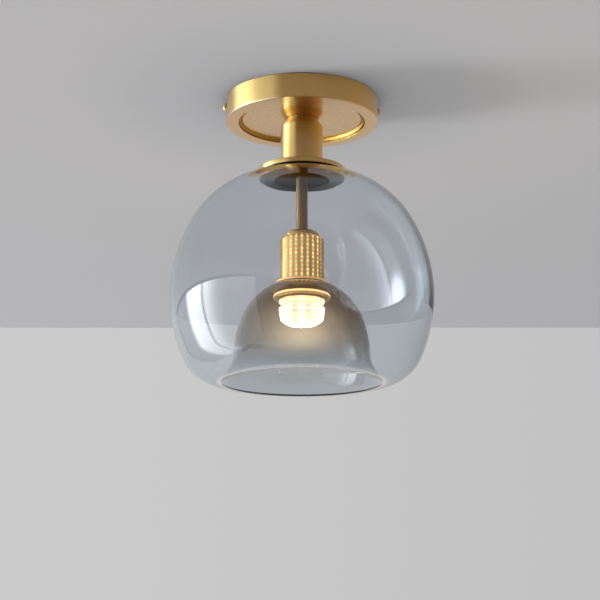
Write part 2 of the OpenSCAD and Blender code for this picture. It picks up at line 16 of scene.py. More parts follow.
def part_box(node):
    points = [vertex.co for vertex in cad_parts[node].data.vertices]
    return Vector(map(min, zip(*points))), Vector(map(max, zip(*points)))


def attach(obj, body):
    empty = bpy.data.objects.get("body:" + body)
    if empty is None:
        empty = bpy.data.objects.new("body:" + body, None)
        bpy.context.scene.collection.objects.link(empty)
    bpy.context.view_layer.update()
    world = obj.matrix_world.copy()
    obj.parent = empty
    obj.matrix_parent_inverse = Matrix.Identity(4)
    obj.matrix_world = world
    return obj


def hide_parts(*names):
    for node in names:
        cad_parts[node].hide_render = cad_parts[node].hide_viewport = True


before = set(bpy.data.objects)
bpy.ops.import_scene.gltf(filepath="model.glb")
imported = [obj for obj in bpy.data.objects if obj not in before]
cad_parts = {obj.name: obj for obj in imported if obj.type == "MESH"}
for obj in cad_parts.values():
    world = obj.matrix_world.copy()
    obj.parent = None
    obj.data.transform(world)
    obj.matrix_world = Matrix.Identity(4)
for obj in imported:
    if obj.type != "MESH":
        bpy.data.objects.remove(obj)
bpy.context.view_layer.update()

MM = 0.001

# %% [markdown]
# ## Helpers for materials
# Colours are picked as sRGB hex values, the numbers that a screen shows, but a shader works with
# linear light, so one function turns them. One more function adds a node with its settings and
# its links, so that a material reads as a list of what it is made of. Many nodes take their inputs in
# order: a Map Range takes value, from low, from high, to low, to high.

# %% Colour and node helpers
def linear(hex_colour):
    """An sRGB hex colour such as #C8A050 as linear red, green, blue and alpha."""
    channels = [int(hex_colour[i:i + 2], 16) / 255 for i in (1, 3, 5)]
    return [c / 12.92 if c <= 0.04045 else ((c + 0.055) / 1.055) ** 2.4 for c in channels] + [1.0]


def add_node(tree, kind, inputs=(), out=0, **settings):
    """Adds a node and gives back its output out, or all of them for None.

    inputs are values or other nodes' outputs, in order or by the socket's name or number."""
    node = tree.nodes.new("ShaderNode" + kind)
    for name, value in settings.items():
        setattr(node, name, value)
    for socket, value in inputs.items() if isinstance(inputs, dict) else enumerate(inputs):
        if isinstance(value, bpy.types.NodeSocket):
            tree.links.new(value, node.inputs[socket])
        else:
            node.inputs[socket].default_value = value
    return node.outputs[out] if node.outputs and out is not None else node.outputs


def new_material(name):
    """An empty material and its node tree."""
    material = bpy.data.materials.new(name)
    material.use_nodes = True
    material.node_tree.nodes.clear()
    return material, material.node_tree


def whereabouts(tree):
    """Where a point is on its object: the place, its x, y and z, and its distance from the Z axis."""
    place = add_node(tree, "TexCoord", out="Object")
    parts = add_node(tree, "SeparateXYZ", [place], None)
    flat = add_node(tree, "CombineXYZ", [parts[0], parts[1]])
    return place, parts, add_node(tree, "VectorMath", [flat], "Value", operation="LENGTH")


def mottled(tree, vector, first, second, scale):
    """A colour that wanders between two hex colours, in patches of about 1 / scale metres."""
    patches = add_node(tree, "TexNoise", {"Vector": vector, "Scale": scale, "Detail": 3.0})
    return add_node(tree, "Mix", {0: patches, 6: linear(first), 7: linear(second)}, 2, data_type="RGBA")


# %% [markdown]
# ## Metals
# The outside is brass tube, bar and spun sheet. It was brushed with fine abrasive while it turned in
# a lathe, then lacquered so that it doesn't tarnish. A lathe leaves rings: the pattern therefore
# depends on the distance from the axis and on the height, and hardly on the angle. Real scratches are
# about 0.1 mm apart, too fine to show at this size, so they are drawn about 0.7 mm apart. The lacquer
# is a coat over the metal. It adds the pale sheen that brass shows where it is seen at a low angle.

# %% Brushed and turned metals
def turned_metal(name, light, dark, roughness, coat, spacing_mm, depth_mm, smear=0.0, coat_roughness=0.26,
                 lit=None, glow="#FFD183"):
    """A metal with turning lines in its gloss and surface, small patches in its colour, and a lacquer coat.

    lit gives the strength of the lamp's light on it, and glow is that light's colour."""
    material, tree = new_material(name)
    place, parts, radius = whereabouts(tree)
    side = add_node(tree, "Math", [parts[0], 0.02], operation="MULTIPLY")
    rings = add_node(tree, "CombineXYZ", [radius, parts[2], side])
    lines = add_node(tree, "TexNoise", {"Vector": rings, "Scale": 1 / (spacing_mm * MM), "Detail": 4.0,
                                        "Roughness": 0.6})
    grain = add_node(tree, "TexNoise", {"Vector": place, "Scale": 1500.0, "Detail": 2.0})
    height = add_node(tree, "Math", [grain, 0.35, lines], operation="MULTIPLY_ADD")
    # the grooves run round the axis; turned by a quarter, that is the way they smear a reflection
    back = add_node(tree, "Math", [parts[1], -1.0], operation="MULTIPLY")
    along = add_node(tree, "CombineXYZ", [back, parts[0]])
    along = add_node(tree, "VectorTransform", [along], vector_type="VECTOR",
                     convert_from="OBJECT", convert_to="WORLD")
    inputs = {
        "Base Color": mottled(tree, place, light, dark, 60.0),
        "Metallic": 1.0,
        "Roughness": add_node(tree, "MapRange", [lines, 0.0, 1.0, roughness - 0.05, roughness + 0.05]),
        "Coat Weight": coat,
        "Coat Roughness": coat_roughness,
        "Coat IOR": 1.75,
        "Anisotropic": smear,
        "Anisotropic Rotation": 0.25,
        "Tangent": add_node(tree, "VectorMath", [along], operation="NORMALIZE"),
        "Normal": add_node(tree, "Bump", {"Strength": 0.5, "Distance": depth_mm * MM, "Height": height}),
    }
    if lit:
        inputs.update({"Emission Color": linear(glow), "Emission Strength": lit(tree, place, parts, radius)})
    add_node(tree, "OutputMaterial", [add_node(tree, "BsdfPrincipled", inputs)])
    return material


# lacquered brass: deep gold. Its fine rings smear a reflection across them, up and down a wall, so a
# bright window becomes an upright band that stays sharp at its sides
SATIN = "#EAB554", "#E3AC4B", 0.36, 1.0, 0.7, 0.006, 0.95
satin_brass = turned_metal("satin_brass", *SATIN)
# the canopy's flat face, brushed more finely: it mirrors the stem softly
face_brass = turned_metal("satin_brass_face", "#E8B45A", "#DCA64E", 0.28, 1.0, 0.7, 0.002, 0.4, 0.14)
# the recess's stepped edge: brass with no coat and rougher, painted a darker, deeper gold as painted shade that
# tones down the glare it catches
ledge_shaded_brass = turned_metal("satin_brass_ledge_shaded", "#D9A13E", "#CB9434", 0.5, 0.0, 0.7, 0.002)
# the cap's lower face, closed in by glass: brass with no coat, painted dark brown as painted shade for the
# shade under the cap
painted_shade_brass = turned_metal("painted_shade_brass", "#6E4A20", "#543614", 0.42, 0.0, 0.7, 0.002, 0.3)
# the rod, drawn tube, painted a tone darker as painted shade for the shade of the globe on it
rod_shaded_brass = turned_metal("satin_brass_rod_shaded", "#B2864C", "#A37842", 0.36, 0.3, 0.7, 0.006, 0.95)
# bare machined brass: paler and sharper, because nothing covers the cutter's marks
plain_brass = turned_metal("plain_brass", "#EBC67C", "#DDB368", 0.32, 0.0, 0.5, 0.01, 0.7)
# zinc plate on steel: a cool grey with a slight blue cast
zinc_steel = turned_metal("zinc_steel", "#C4C8CE", "#AEB4BC", 0.38, 0.0, 1.2, 0.008)
# machined aluminium: pale and a little matt
aluminium = turned_metal("aluminium", "#DCDEE2", "#CFD2D7", 0.34, 0.0, 0.5, 0.01, 0.6)

# %% [markdown]
# The cut crystal below throws small spots of light up on the cup, in columns 15 degrees apart with a spot every
# 3.3 mm. Tracing them would need far too many samples, so they are painted on the cup's brass as a faint glow,
# in the same place, and only on the cup's side towards -Y. The ring and the flange beside the lamp get a
# painted glow for the same reason.

# %% Brass that the crystal lights
SPOTS_ROUND, SPOT_PITCH = 24.0, 3.3  # columns round the cup, and mm from row to row
SPOTS_START, SPOTS_FRONT = math.radians(-5.5), math.radians(176.5)
RIM_R, RIM_Z = 21.4 * MM, -0.1606  # the ring's lit edge, where its rim meets its lower face
CROWN_LIT_R = 18.8 * MM  # the flange is lit from here outwards


def crystal_spots(tree, place, parts, radius):
    """How strongly the painted light of the crystal's spots lies on each place of the cup."""
    angle = add_node(tree, "Math", [parts[0], parts[1]], operation="ARCTAN2")
    phase = add_node(tree, "Math", [angle, SPOTS_ROUND, SPOTS_START * SPOTS_ROUND], operation="MULTIPLY_ADD")
    row = add_node(tree, "Math", [parts[2], math.tau / (SPOT_PITCH * MM)], operation="MULTIPLY")
    # the spots are painted light, only on the side of the cup towards -Y
    from_front = add_node(tree, "Math", [angle, SPOTS_FRONT], operation="SUBTRACT")
    uneven = add_node(tree, "TexNoise", {"Vector": place, "Scale": 230.0})
    glow = add_node(tree, "MapRange", [uneven, 0.3, 0.7, 0.25, 1.0])
    # the columns, the rows and the front of the cup are cosines, each cut to a range
    columns, rows, front = [
        add_node(tree, "MapRange", [add_node(tree, "Math", [turn], operation="COSINE"), *limits])
        for turn, *limits in ((phase, -0.1, 0.9), (row, 0.0, 1.0, 0.4, 1.0), (from_front, 0.55, 0.72))]
    for share in (columns, rows):
        glow = add_node(tree, "Math", [glow, share], operation="MULTIPLY")
    glow = add_node(tree, "Math", [glow, 2.3, 0.15], operation="MULTIPLY_ADD")
    return add_node(tree, "Math", [glow, front], operation="MULTIPLY")


def rim_light(tree, place, parts, radius):
    """Painted light on the ring's rim and lower face, so near the lamp that they shine."""
    side = add_node(tree, "MapRange", [radius, RIM_R, RIM_R + 0.3 * MM])
    rim = add_node(tree, "MapRange", [parts[2], RIM_Z, RIM_Z + 0.7 * MM, 0.8, 8.0])
    under = add_node(tree, "MapRange", [parts[2], RIM_Z, RIM_Z - 0.5 * MM, 0.0, 0.5])
    return add_node(tree, "Math", [rim, side, under], operation="MULTIPLY_ADD")


def flange_light(tree, place, parts, radius):
    """Painted light on the carrier's flange, which the lens lights through the crown of the bell."""
    return add_node(tree, "MapRange", [radius, CROWN_LIT_R, CROWN_LIT_R + 0.8 * MM, 0.0, 0.42])


# brass with painted light from the lamp
flange_brass = turned_metal("satin_brass_flange", *SATIN, lit=flange_light)
ring_brass = turned_metal("satin_brass_by_lamp", *SATIN, lit=rim_light, glow="#FFE0A4")
lit_brass = turned_metal("satin_brass_lit", *SATIN, lit=crystal_spots)
print("metals:", satin_brass.name, plain_brass.name, zinc_steel.name, aluminium.name)

# %% [markdown]
# ## Glass
# The shade is soda lime glass, blown with a smoke grey tint in its whole thickness. The tint is a
# volume absorption, so that thick places such as the fold at the mouth go darker, as they really do.
# The bell is warmer. Its outline is darkened by painted shade, most on its +X side and high up. The lamp's
# light is painted in as well: a faint glow on the crown and the fold, and a soft bloom in the bell round the
# lens, strongest where the wall is seen face on.
# Light that only passes through on its way to another surface would need a huge number of samples,
# so a shadow ray sees a plain tinted film in place of the bending glass.

# %% Smoke glass
def clear_to_shadows(tree, shader, tint):
    """The shader, but a transparent film of that tint for shadow rays."""
    film = add_node(tree, "BsdfTransparent", [linear(tint)])
    return add_node(tree, "MixShader", [add_node(tree, "LightPath", out="Is Shadow Ray"), shader, film])


# where the glass changes, in metres: pairs are the start and the end of a change
ABOVE_BELL = -0.14
BELL_FROM_R, BELL_CLIMB = (63 * MM, 50 * MM), (-0.212, -0.162)
FOLD_LIT, CROWN_LIT = (-0.2265, -0.22672), (24.0 * MM, 22.0 * MM)
BLOOM_Z, BLOOM_H = -0.179, 15 * MM


def make_smoke_glass():
    """Blown smoke grey glass, darker and warmer where it turns in and rises as the bell, with painted shade at
    the bell's outline and a painted glow from the lamp.
    """
    material, tree = new_material("smoke_glass")
    place, parts, radius = whereabouts(tree)
    below = add_node(tree, "Math", [parts[2], ABOVE_BELL], operation="LESS_THAN")
    inwards = add_node(tree, "MapRange", [radius, *BELL_FROM_R])
    bell = add_node(tree, "Math", [inwards, below], operation="MULTIPLY")
    climb = add_node(tree, "MapRange", [parts[2], *BELL_CLIMB])
    smoke = add_node(tree, "Mix", {0: climb, 6: linear("#EBEAE7"), 7: linear("#A8907A")}, 2, data_type="RGBA")
    # painted shade: the bell's outline is darkened towards a dark brown, most on its +X side and high on the
    # bell
    edge = add_node(tree, "LayerWeight", {"Blend": 0.35}, "Facing")
    edge = add_node(tree, "Math", [edge, 1.05], operation="POWER")
    for share in (add_node(tree, "MapRange", [parts[0], -0.03, 0.03, 0.2, 1.0]),
                  add_node(tree, "MapRange", [parts[2], -0.194, -0.174, 0.6, 1.35])):
        edge = add_node(tree, "Math", [edge, share], operation="MULTIPLY")
    smoke = add_node(tree, "Mix", {0: edge, 6: smoke, 7: linear("#2C221C")}, 2, data_type="RGBA")
    waves = add_node(tree, "TexNoise", {"Vector": place, "Scale": 14.0, "Detail": 1.0})
    # painted light: a faint glow on the fold and on the crown
    fold = add_node(tree, "MapRange", [parts[2], *FOLD_LIT, 0.0, 0.12])
    crown = add_node(tree, "MapRange", [radius, *CROWN_LIT, 0.0, 0.5])
    glow = add_node(tree, "Math", [crown, below, fold], operation="MULTIPLY_ADD")
    # the painted bloom is exp(-height squared), times how much the wall faces the eye to a high power
    height = add_node(tree, "Math", [parts[2], 1 / BLOOM_H, -BLOOM_Z / BLOOM_H], operation="MULTIPLY_ADD")
    height = add_node(tree, "Math", [height, height], operation="MULTIPLY")
    bloom = add_node(tree, "Math", [math.exp(-1), height], operation="POWER")
    face_on = add_node(tree, "LayerWeight", {"Blend": 0.5}, "Facing")
    face_on = add_node(tree, "Math", [1.0, face_on], operation="SUBTRACT", use_clamp=True)
    face_on = add_node(tree, "Math", [face_on, 11.0], operation="POWER")
    for share in (face_on, bell):
        bloom = add_node(tree, "Math", [bloom, share], operation="MULTIPLY")
    glass = add_node(tree, "BsdfPrincipled", {
        "Base Color": add_node(tree, "Mix", {0: bell, 6: linear("#FFFFFF"), 7: smoke}, 2, data_type="RGBA"),
        "Roughness": 0.0, "IOR": 1.5, "Transmission Weight": 1.0, "Emission Color": linear("#FFE2B4"),
        "Emission Strength": add_node(tree, "Math", [bloom, 0.53, glow], operation="MULTIPLY_ADD"),
        "Normal": add_node(tree, "Bump", {"Strength": 0.25, "Distance": 0.6 * MM, "Height": waves})})
    haze = add_node(tree, "BsdfTranslucent", [linear("#FFF4E4")])
    amount = add_node(tree, "Math", [bell, 0.004], operation="MULTIPLY")
    clouded = add_node(tree, "MixShader", [amount, glass, haze])
    tint = add_node(tree, "VolumeAbsorption", {"Color": (0.51, 0.62, 0.735, 1.0), "Density": 100.0})
    add_node(tree, "OutputMaterial", {"Surface": clear_to_shadows(tree, clouded, "#FAFAFA"), "Volume": tint})
    return material


smoke_glass = make_smoke_glass()

# %% [markdown]
# ## The crystal's finish
# The lens is cut crystal, lit from above by the LEDs. Light bounces about inside it, so the whole body
# glows. Each petal is brightest along its middle and duller in the joints, and the cut lower face
# breaks the light into small patches. The glow is emission, with a pattern from the angle round the axis.

# %% Lit crystal
PETALS = 10
PETAL_TURN = math.radians(12.5)  # a petal looks at the photographer, as in the photograph
# heights in metres: the groove under the collar darkens the glow, and so do the facets of the lower face
NOTCH, NOTCH_LOW, LOW_FACE = (-0.1640, -0.1655), -0.1676, (-0.1738, -0.1765)


def make_crystal():
    """Polished crystal with a warm white glow, brighter in the middle of each petal."""
    material, tree = new_material("clear_crystal")
    place = add_node(tree, "TexCoord", out="Object")
    parts = add_node(tree, "SeparateXYZ", [place], None)
    angle = add_node(tree, "Math", [parts[1], parts[0]], operation="ARCTAN2")
    turns = add_node(tree, "Math", [angle, float(PETALS), -PETALS * PETAL_TURN], operation="MULTIPLY_ADD")
    petal = add_node(tree, "MapRange", [add_node(tree, "Math", [turns], operation="COSINE"), -1.0, 0.2])
    facets = add_node(tree, "TexVoronoi", {"Vector": place, "Scale": 330.0})
    low_face = add_node(tree, "MapRange", [parts[2], *LOW_FACE, 0.0, 1.1])
    notch = add_node(tree, "MapRange", [parts[2], *NOTCH, 0.0, 0.6])
    above = add_node(tree, "Math", [parts[2], NOTCH_LOW], operation="GREATER_THAN")
    notch = add_node(tree, "Math", [notch, above], operation="MULTIPLY")
    dull = add_node(tree, "Math", [facets, low_face, notch], operation="MULTIPLY_ADD")
    level = add_node(tree, "Math", [petal, dull], operation="SUBTRACT", use_clamp=True)
    colour = add_node(tree, "Mix", {0: level, 6: linear("#F9DBA8"), 7: linear("#FFFAF0")}, 2, data_type="RGBA")
    crystal = add_node(tree, "BsdfPrincipled", {
        "Base Color": linear("#FFFAF0"), "Roughness": 0.03, "IOR": 1.54, "Transmission Weight": 1.0,
        "Emission Color": colour,
        "Emission Strength": add_node(tree, "MapRange", [level, 0.0, 1.0, 0.68, 1.5])})
    add_node(tree, "OutputMaterial", [clear_to_shadows(tree, crystal, "#F8F4EC")])
    return material


clear_crystal = make_crystal()

# %% [markdown]
# ## Rubber, plastics and the LED board
# The small inner pieces are moulded. A moulding takes the texture of its mould, so each has a fine
# grain in its surface, and rubber is duller than plastic. Colours wander very slightly.

# %% Moulded finishes
def moulded(name, light, dark, roughness, grain_mm, depth_mm, **sockets):
    """A moulded material: nearly one colour, with a fine grain. sockets are more values for the shader."""
    material, tree = new_material(name)
    place = add_node(tree, "TexCoord", out="Object")
    grain = add_node(tree, "TexNoise", {"Vector": place, "Scale": 1 / (grain_mm * MM), "Detail": 2.0})
    inputs = {"Base Color": mottled(tree, place, light, dark, 120.0), "Roughness": roughness,
              "Normal": add_node(tree, "Bump", {"Strength": 0.5, "Distance": depth_mm * MM, "Height": grain})}
    inputs.update({socket.replace("_", " "): value for socket, value in sockets.items()})
    add_node(tree, "OutputMaterial", [add_node(tree, "BsdfPrincipled", inputs)])
    return material


# neoprene: nearly black, with a dull, faintly dusty surface
black_rubber = moulded("black_rubber", "#110F0E", "#0B0A09", 0.75, 0.5, 0.03, Specular_IOR_Level=0.12)
# silicone: milky and soft to the touch, so light sinks in a little
clear_rubber = moulded("clear_rubber", "#DDDCD8", "#D2D1CC", 0.42, 0.6, 0.02, Transmission_Weight=0.4, IOR=1.41)
# polyamide of the terminal block: off-white with a low gloss
terminal_plastic = moulded("terminal_plastic", "#ECEBE6", "#E2E0D9", 0.36, 0.8, 0.01, IOR=1.53)
# polycarbonate of the driver's case: white, from a spark eroded mould, so quite matt
driver_plastic = moulded("driver_plastic", "#E9E9E6", "#DFDFDB", 0.55, 0.4, 0.04, IOR=1.58)
# PVC sheath of the leads: pale grey, smooth from the extruder
lead_sheath = moulded("lead_sheath", "#D9D8D4", "#CECDC8", 0.40, 1.5, 0.01, IOR=1.53)
# white solder mask over the board's copper
board_white = moulded("board_white", "#F2F2EE", "#E8E8E3", 0.30, 0.9, 0.006, IOR=1.55)
# phosphor in silicone over each LED: yellow, and lit
led_phosphor = moulded("led_phosphor", "#F8D45C", "#F2C648", 0.28, 0.5, 0.01, IOR=1.43,
                       Emission_Color=linear("#FFE9B8"), Emission_Strength=1.2)
print("materials:", len(bpy.data.materials))

# %% [markdown]
# ## Helpers for shapes
# Most of a lamp like this comes off a lathe. So does most of this model: a half section is drawn as a
# closed line of corners, each corner is rounded by a vertex bevel as a file would ease it, and the line
# is spun once round the axis. A real edge is never perfectly sharp, and the thin highlight along
# a rounded edge is what makes metal look like metal.

# %% Finish a piece and turn a section
COLLECTION = bpy.context.scene.collection
SAME_POINT = 0.001 * MM  # points nearer than this are merged


def add_object(bm, name, material=None):
    """Makes a bmesh an object in the scene."""
    mesh = bpy.data.meshes.new(name)
    bm.to_mesh(mesh)
    bm.free()
    if material:
        mesh.materials.append(material)
    thing = bpy.data.objects.new(name, mesh)
    COLLECTION.objects.link(thing)
    return thing


def evaluated_mesh(thing):
    """A mesh of the object with its modifiers or its curve worked out."""
    return bpy.data.meshes.new_from_object(thing.evaluated_get(bpy.context.evaluated_depsgraph_get()))


def finish_piece(bm, name, body, material, slot, *nodes, sharp=35.0, weighted=True):
    """Makes a bmesh a piece with a material that rides on a body and stands for CAD nodes. slot is not used."""
    piece = add_object(bm, name, material)
    piece.data.shade_smooth()
    piece.data.set_sharp_from_angle(angle=math.radians(sharp))
    if weighted:
        piece.modifiers.new("flat faces stay flat", "WEIGHTED_NORMAL").keep_sharp = True
    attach(piece, body)
    if nodes:
        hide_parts(*nodes)
    print(f"{name}: {len(piece.data.polygons)} faces on {body}")
    return piece


def section_line(bm, corners, closed=True, segments=3):
    """A line through (radius, height, rounding) corners in mm, in the XZ plane, with its corners rounded."""
    spots = [Vector((r, 0, z)) * MM for r, z, _ in corners]
    verts = [bm.verts.new(spot) for spot in spots]
    count = len(verts)
    for i in range(count if closed else count - 1):
        bm.edges.new((verts[i], verts[(i + 1) % count]))
    for i, (_, _, rounding) in enumerate(corners):
        if rounding:
            turn = (spots[i] - spots[i - 1]).angle(spots[(i + 1) % count] - spots[i])
            bmesh.ops.bevel(bm, geom=[verts[i]], offset=rounding * MM * math.tan(turn / 2), profile=0.5,
                            offset_type="OFFSET", segments=segments, affect="VERTICES", material=-1)


def spin_whole(bm, steps):
    """Spins the bmesh once round the Z axis, closes the seam and the poles, and turns faces outwards."""
    bmesh.ops.spin(bm, geom=bm.verts[:] + bm.edges[:], cent=(0, 0, 0), axis=(0, 0, 1), dvec=(0, 0, 0),
                   angle=math.tau, steps=steps, use_merge=True, use_normal_flip=False, use_duplicate=False)
    bmesh.ops.remove_doubles(bm, verts=bm.verts[:], dist=SAME_POINT)
    bmesh.ops.recalc_face_normals(bm, faces=bm.faces[:])


def turned(corners, closed=True, steps=96, segments=3):
    """A bmesh turned from a half section."""
    bm = bmesh.new()
    section_line(bm, corners, closed, segments)
    spin_whole(bm, steps)
    return bm


def turned_piece(node, corners, material=satin_brass, slot="satin_brass", ending="_brass", **how):
    """A turned piece of the fixture, in place of one CAD node. how goes to turned."""
    return finish_piece(turned(corners, **how), node + ending, "fixture", material, slot, node)


def thread(radius, top, bottom, pitch=1.0, depth=0.45):
    """Section corners of a thread from top to bottom: V grooves, one for each pitch."""
    grooves = int((top - bottom) / pitch)
    start = top - (top - bottom - grooves * pitch) / 2
    corners = []
    for i in range(grooves):
        for share, cut in ((0.1, 0), (0.5, depth), (0.9, 0)):
            corners.append((radius - cut, start - i * pitch - share * pitch, 0))
    return corners


def round_of(node):
    """The outer radius, bottom and top of a turned CAD node, in mm."""
    low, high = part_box(node)
    return high.x / MM, low.z / MM, high.z / MM


def flat_ring(node, bore, *roundings):
    """Section corners of a flat ring as big as a CAD node, from the bore's top round to its bottom."""
    outer, low, high = round_of(node)
    return [(*spot, rounding) for spot, rounding in zip(
        ((bore, high), (outer, high), (outer, low), (bore, low)), roundings)]


# %% [markdown]
# ## The canopy
# The canopy is spun from brass sheet over a wooden or steel former. Its lower face has a wide flat rim
# and a shallow recess, with a small ledge where the recess begins. That ledge catches a thin bright line.
# Two holes in its wall let the side screws through. They are cut with a boolean, as a drill would.

# %% Canopy
ROD_HOLE = round_of("drop_rod")[0] + 0.05  # the bore of all that sits on the rod
SHEET = 1.5  # how thick the brass sheet is
RECESS_R, RECESS_DEPTH = 49.8, 2.6
LEDGE_W, LEDGE_H = 1.2, 1.0
GROOVE_W, GROOVE_H = 0.5, 0.6  # the turned groove outside the ledge
canopy_r, face_z, _ = round_of("canopy")
recess_z = face_z + RECESS_DEPTH
floor_z = recess_z + SHEET
ledge_r, ledge_z = RECESS_R - LEDGE_W, face_z + LEDGE_H
foot_r, foot_z = ledge_r - 1.8, recess_z + 0.5  # the slope from the ledge ends in a small step
canopy_corners = [
    (canopy_r, 0, 0.3), (canopy_r, face_z, 0.7), (RECESS_R, face_z, 0.25), (RECESS_R, ledge_z + GROOVE_H, 0),
    (RECESS_R - GROOVE_W, ledge_z + GROOVE_H, 0), (RECESS_R - GROOVE_W, ledge_z, 0.2), (ledge_r, ledge_z, 0.2),
    (foot_r + 0.6, foot_z, 0), (foot_r, foot_z, 0), (foot_r, recess_z, 0.2), (ROD_HOLE, recess_z, 0),
    (ROD_HOLE, floor_z, 0), (ledge_r - 0.85, floor_z, 0.4), (RECESS_R + SHEET, ledge_z + SHEET, 0.3),
    (RECESS_R + SHEET, face_z + SHEET, 0.3), (canopy_r - SHEET, face_z + SHEET, 0.3),
    (canopy_r - SHEET, 0, 0.3),
]
canopy = turned_piece("canopy", canopy_corners, steps=192, segments=4)

# %% Drill the canopy and give its faces their brass
DRILL_R, DRILL_L = 2.3 * MM, 0.13
screw_low, screw_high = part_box("canopy_screw_right")
screw_z = (screw_low.z + screw_high.z) / 2
drill_bm = bmesh.new()
bmesh.ops.create_cone(drill_bm, cap_ends=True, segments=48, radius1=DRILL_R, radius2=DRILL_R, depth=DRILL_L,
                      matrix=Matrix.Translation((0, 0, screw_z)) @ Matrix.Rotation(math.pi / 2, 4, "Y"))
drill = add_object(drill_bm, "drill")
cut = canopy.modifiers.new("screw holes", "BOOLEAN")
cut.operation, cut.object, cut.solver = "DIFFERENCE", drill, "EXACT"
canopy.modifiers.move(1, 0)
drilled = evaluated_mesh(canopy)
canopy.modifiers.remove(cut)
canopy.data = drilled
bpy.data.objects.remove(drill)
drilled.set_sharp_from_angle(angle=math.radians(35))
drilled.materials.append(face_brass)
drilled.materials.append(ledge_shaded_brass)
# flat faces take the face brass; the recess's stepped edge takes the ledge brass with its painted shade
for face in drilled.polygons:
    in_ledge = foot_r - 0.2 < face.center.xy.length / MM < RECESS_R + 0.1 and face.center.z / MM < foot_z + 0.1
    face.material_index = 2 if in_ledge else int(abs(face.normal.z) > 0.9)
print("canopy drilled:", len(drilled.polygons), "faces")

# %% [markdown]
# ## The side screws
# Two small thumb screws hold the canopy on the bracket's ears. Each is a turned dome with a threaded
# shank. A screw is made standing up on the axis, then laid along X, and the left one is its mirror image.

# %% Side screws
HEAD_R, SHANK_R = (screw_high.z - screw_low.z) / 2 / MM, 2.0
SEAT_X = canopy_r + 0.3
head_h, shank_end = screw_high.x / MM - SEAT_X, screw_low.x / MM - SEAT_X
screw_corners = (
    [(0, head_h, 0), (HEAD_R * 0.55, head_h - 0.12, 0.6), (HEAD_R * 0.88, head_h - 0.62, 0.5),
     (HEAD_R, 0.8, 0.35), (HEAD_R, 0, 0.2), (SHANK_R, 0, 0.1)]
    + thread(SHANK_R, -0.4, shank_end + 0.6, pitch=0.7, depth=0.3)
    + [(SHANK_R - 0.3, shank_end, 0.1), (0, shank_end, 0)]
)
for side, body, node in ((1, "screw_right", "canopy_screw_right"), (-1, "screw_left", "canopy_screw_left")):
    screw = turned(screw_corners, closed=False, steps=40, segments=4)
    laid = Matrix.Translation((side * SEAT_X * MM, 0, screw_z)) @ Matrix.Rotation(side * math.pi / 2, 4, "Y")
    bmesh.ops.transform(screw, matrix=laid, verts=screw.verts[:])
    finish_piece(screw, node + "_brass", body, satin_brass, "satin_brass", node)

# %% [markdown]
# ## The stem
# The barrel is a thick sleeve with a tapered top. The rod inside it is one tube from the nut in the
# canopy down to the lamp cup, threaded at both ends. The cap is a flat disc with an eased rim.
# Below it lies the rubber that keeps the metal off the glass. All are turned.

# %% Barrel, rod, cap and gasket
TAPER_R, TAPER_H, WEB, WALL = 12.8, 6.4, 8.0, 2.0
barrel_r, barrel_low, barrel_high = round_of("stem_barrel")
turned_piece("stem_barrel", [
    (ROD_HOLE, barrel_high, 0), (TAPER_R - 0.8, barrel_high, 0), (TAPER_R - 0.8, barrel_high - 0.5, 0),
    (TAPER_R, barrel_high - 0.5, 0.15), (barrel_r, barrel_high - TAPER_H, 0.8), (barrel_r, barrel_low, 0.35),
    (ROD_HOLE, barrel_low, 0), (ROD_HOLE, barrel_low + WEB, 0), (barrel_r - WALL, barrel_low + WEB, 0.5),
    (barrel_r - WALL, barrel_high - WEB, 0.5), (ROD_HOLE, barrel_high - WEB, 0)], steps=128)

rod_r, rod_low, rod_high = round_of("drop_rod")
ROD_BORE, ROD_THREAD_DEPTH, CHAMFER = rod_r - 1.2, 0.35, 0.3
# the rod takes the darker brass: painted shade
turned_piece("drop_rod", (
    [(ROD_BORE, rod_high, 0.15), (rod_r - CHAMFER, rod_high, 0.2)]
    + thread(rod_r, rod_high - CHAMFER, recess_z + 0.3, depth=ROD_THREAD_DEPTH)
    + [(rod_r, recess_z, 0)]
    + thread(rod_r, round_of("cup_cap")[2] - 0.5, rod_low + CHAMFER, depth=ROD_THREAD_DEPTH)
    + [(rod_r - CHAMFER, rod_low, 0.2), (ROD_BORE, rod_low, 0.15)]), rod_shaded_brass, steps=48)

cap = turned_piece("shade_cap", flat_ring("shade_cap", ROD_HOLE, 0, 0.9, 0.6, 0), steps=160, segments=5)
# the cap's downward faces take the dark brass: painted shade
cap.data.materials.append(painted_shade_brass)
for face in cap.data.polygons:
    face.material_index = int(face.normal.z < -0.7)
turned_piece("cap_gasket", flat_ring("cap_gasket", ROD_HOLE, 0, 0.3, 0.4, 0), black_rubber, "black_rubber",
             "_rubber", steps=128)

# %% [markdown]
# ## The lamp cup
# A smooth brass tube with a sloping shoulder, closed by a rounded top piece. A fine seam runs where
# the two meet: each side of it has its own small rounding, which draws the dark line.

# %% Lamp cup and its top piece
dome_r, spigot_low, dome_high = round_of("cup_cap")
cup_r, cup_low, seam_z = round_of("lamp_cup")
CUP_WALL, SHOULDER_H = 1.2, 2.4
spigot_r, cup_bore = dome_r - CUP_WALL, cup_r - CUP_WALL
turned_piece("cup_cap", [
    (ROD_HOLE, dome_high, 0.1), (dome_r, dome_high, 3.9), (dome_r, seam_z, 0.3), (spigot_r, seam_z, 0),
    (spigot_r, spigot_low, 0.3), (ROD_HOLE, spigot_low, 0)], segments=8)
turned_piece("lamp_cup", [
    (spigot_r + 0.05, seam_z, 0), (dome_r, seam_z, 0.3), (cup_r, seam_z - SHOULDER_H, 1.2),
    (cup_r, cup_low, 0.5), (cup_bore, cup_low, 0), (cup_bore, seam_z - SHOULDER_H - 0.6, 0.4),
    (spigot_r + 0.05, seam_z - CUP_WALL, 0)], lit_brass, steps=128, segments=4)

# %% [markdown]
# ## The shade holder
# A flange rests on the bell's crown, with a rubber below it, and its threaded neck goes down through
# the glass. A ring screws up onto the neck from below, and that is what holds the whole shade. Its hub
# has grip grooves, made by pulling every fourth column of points of the turned hub inwards.

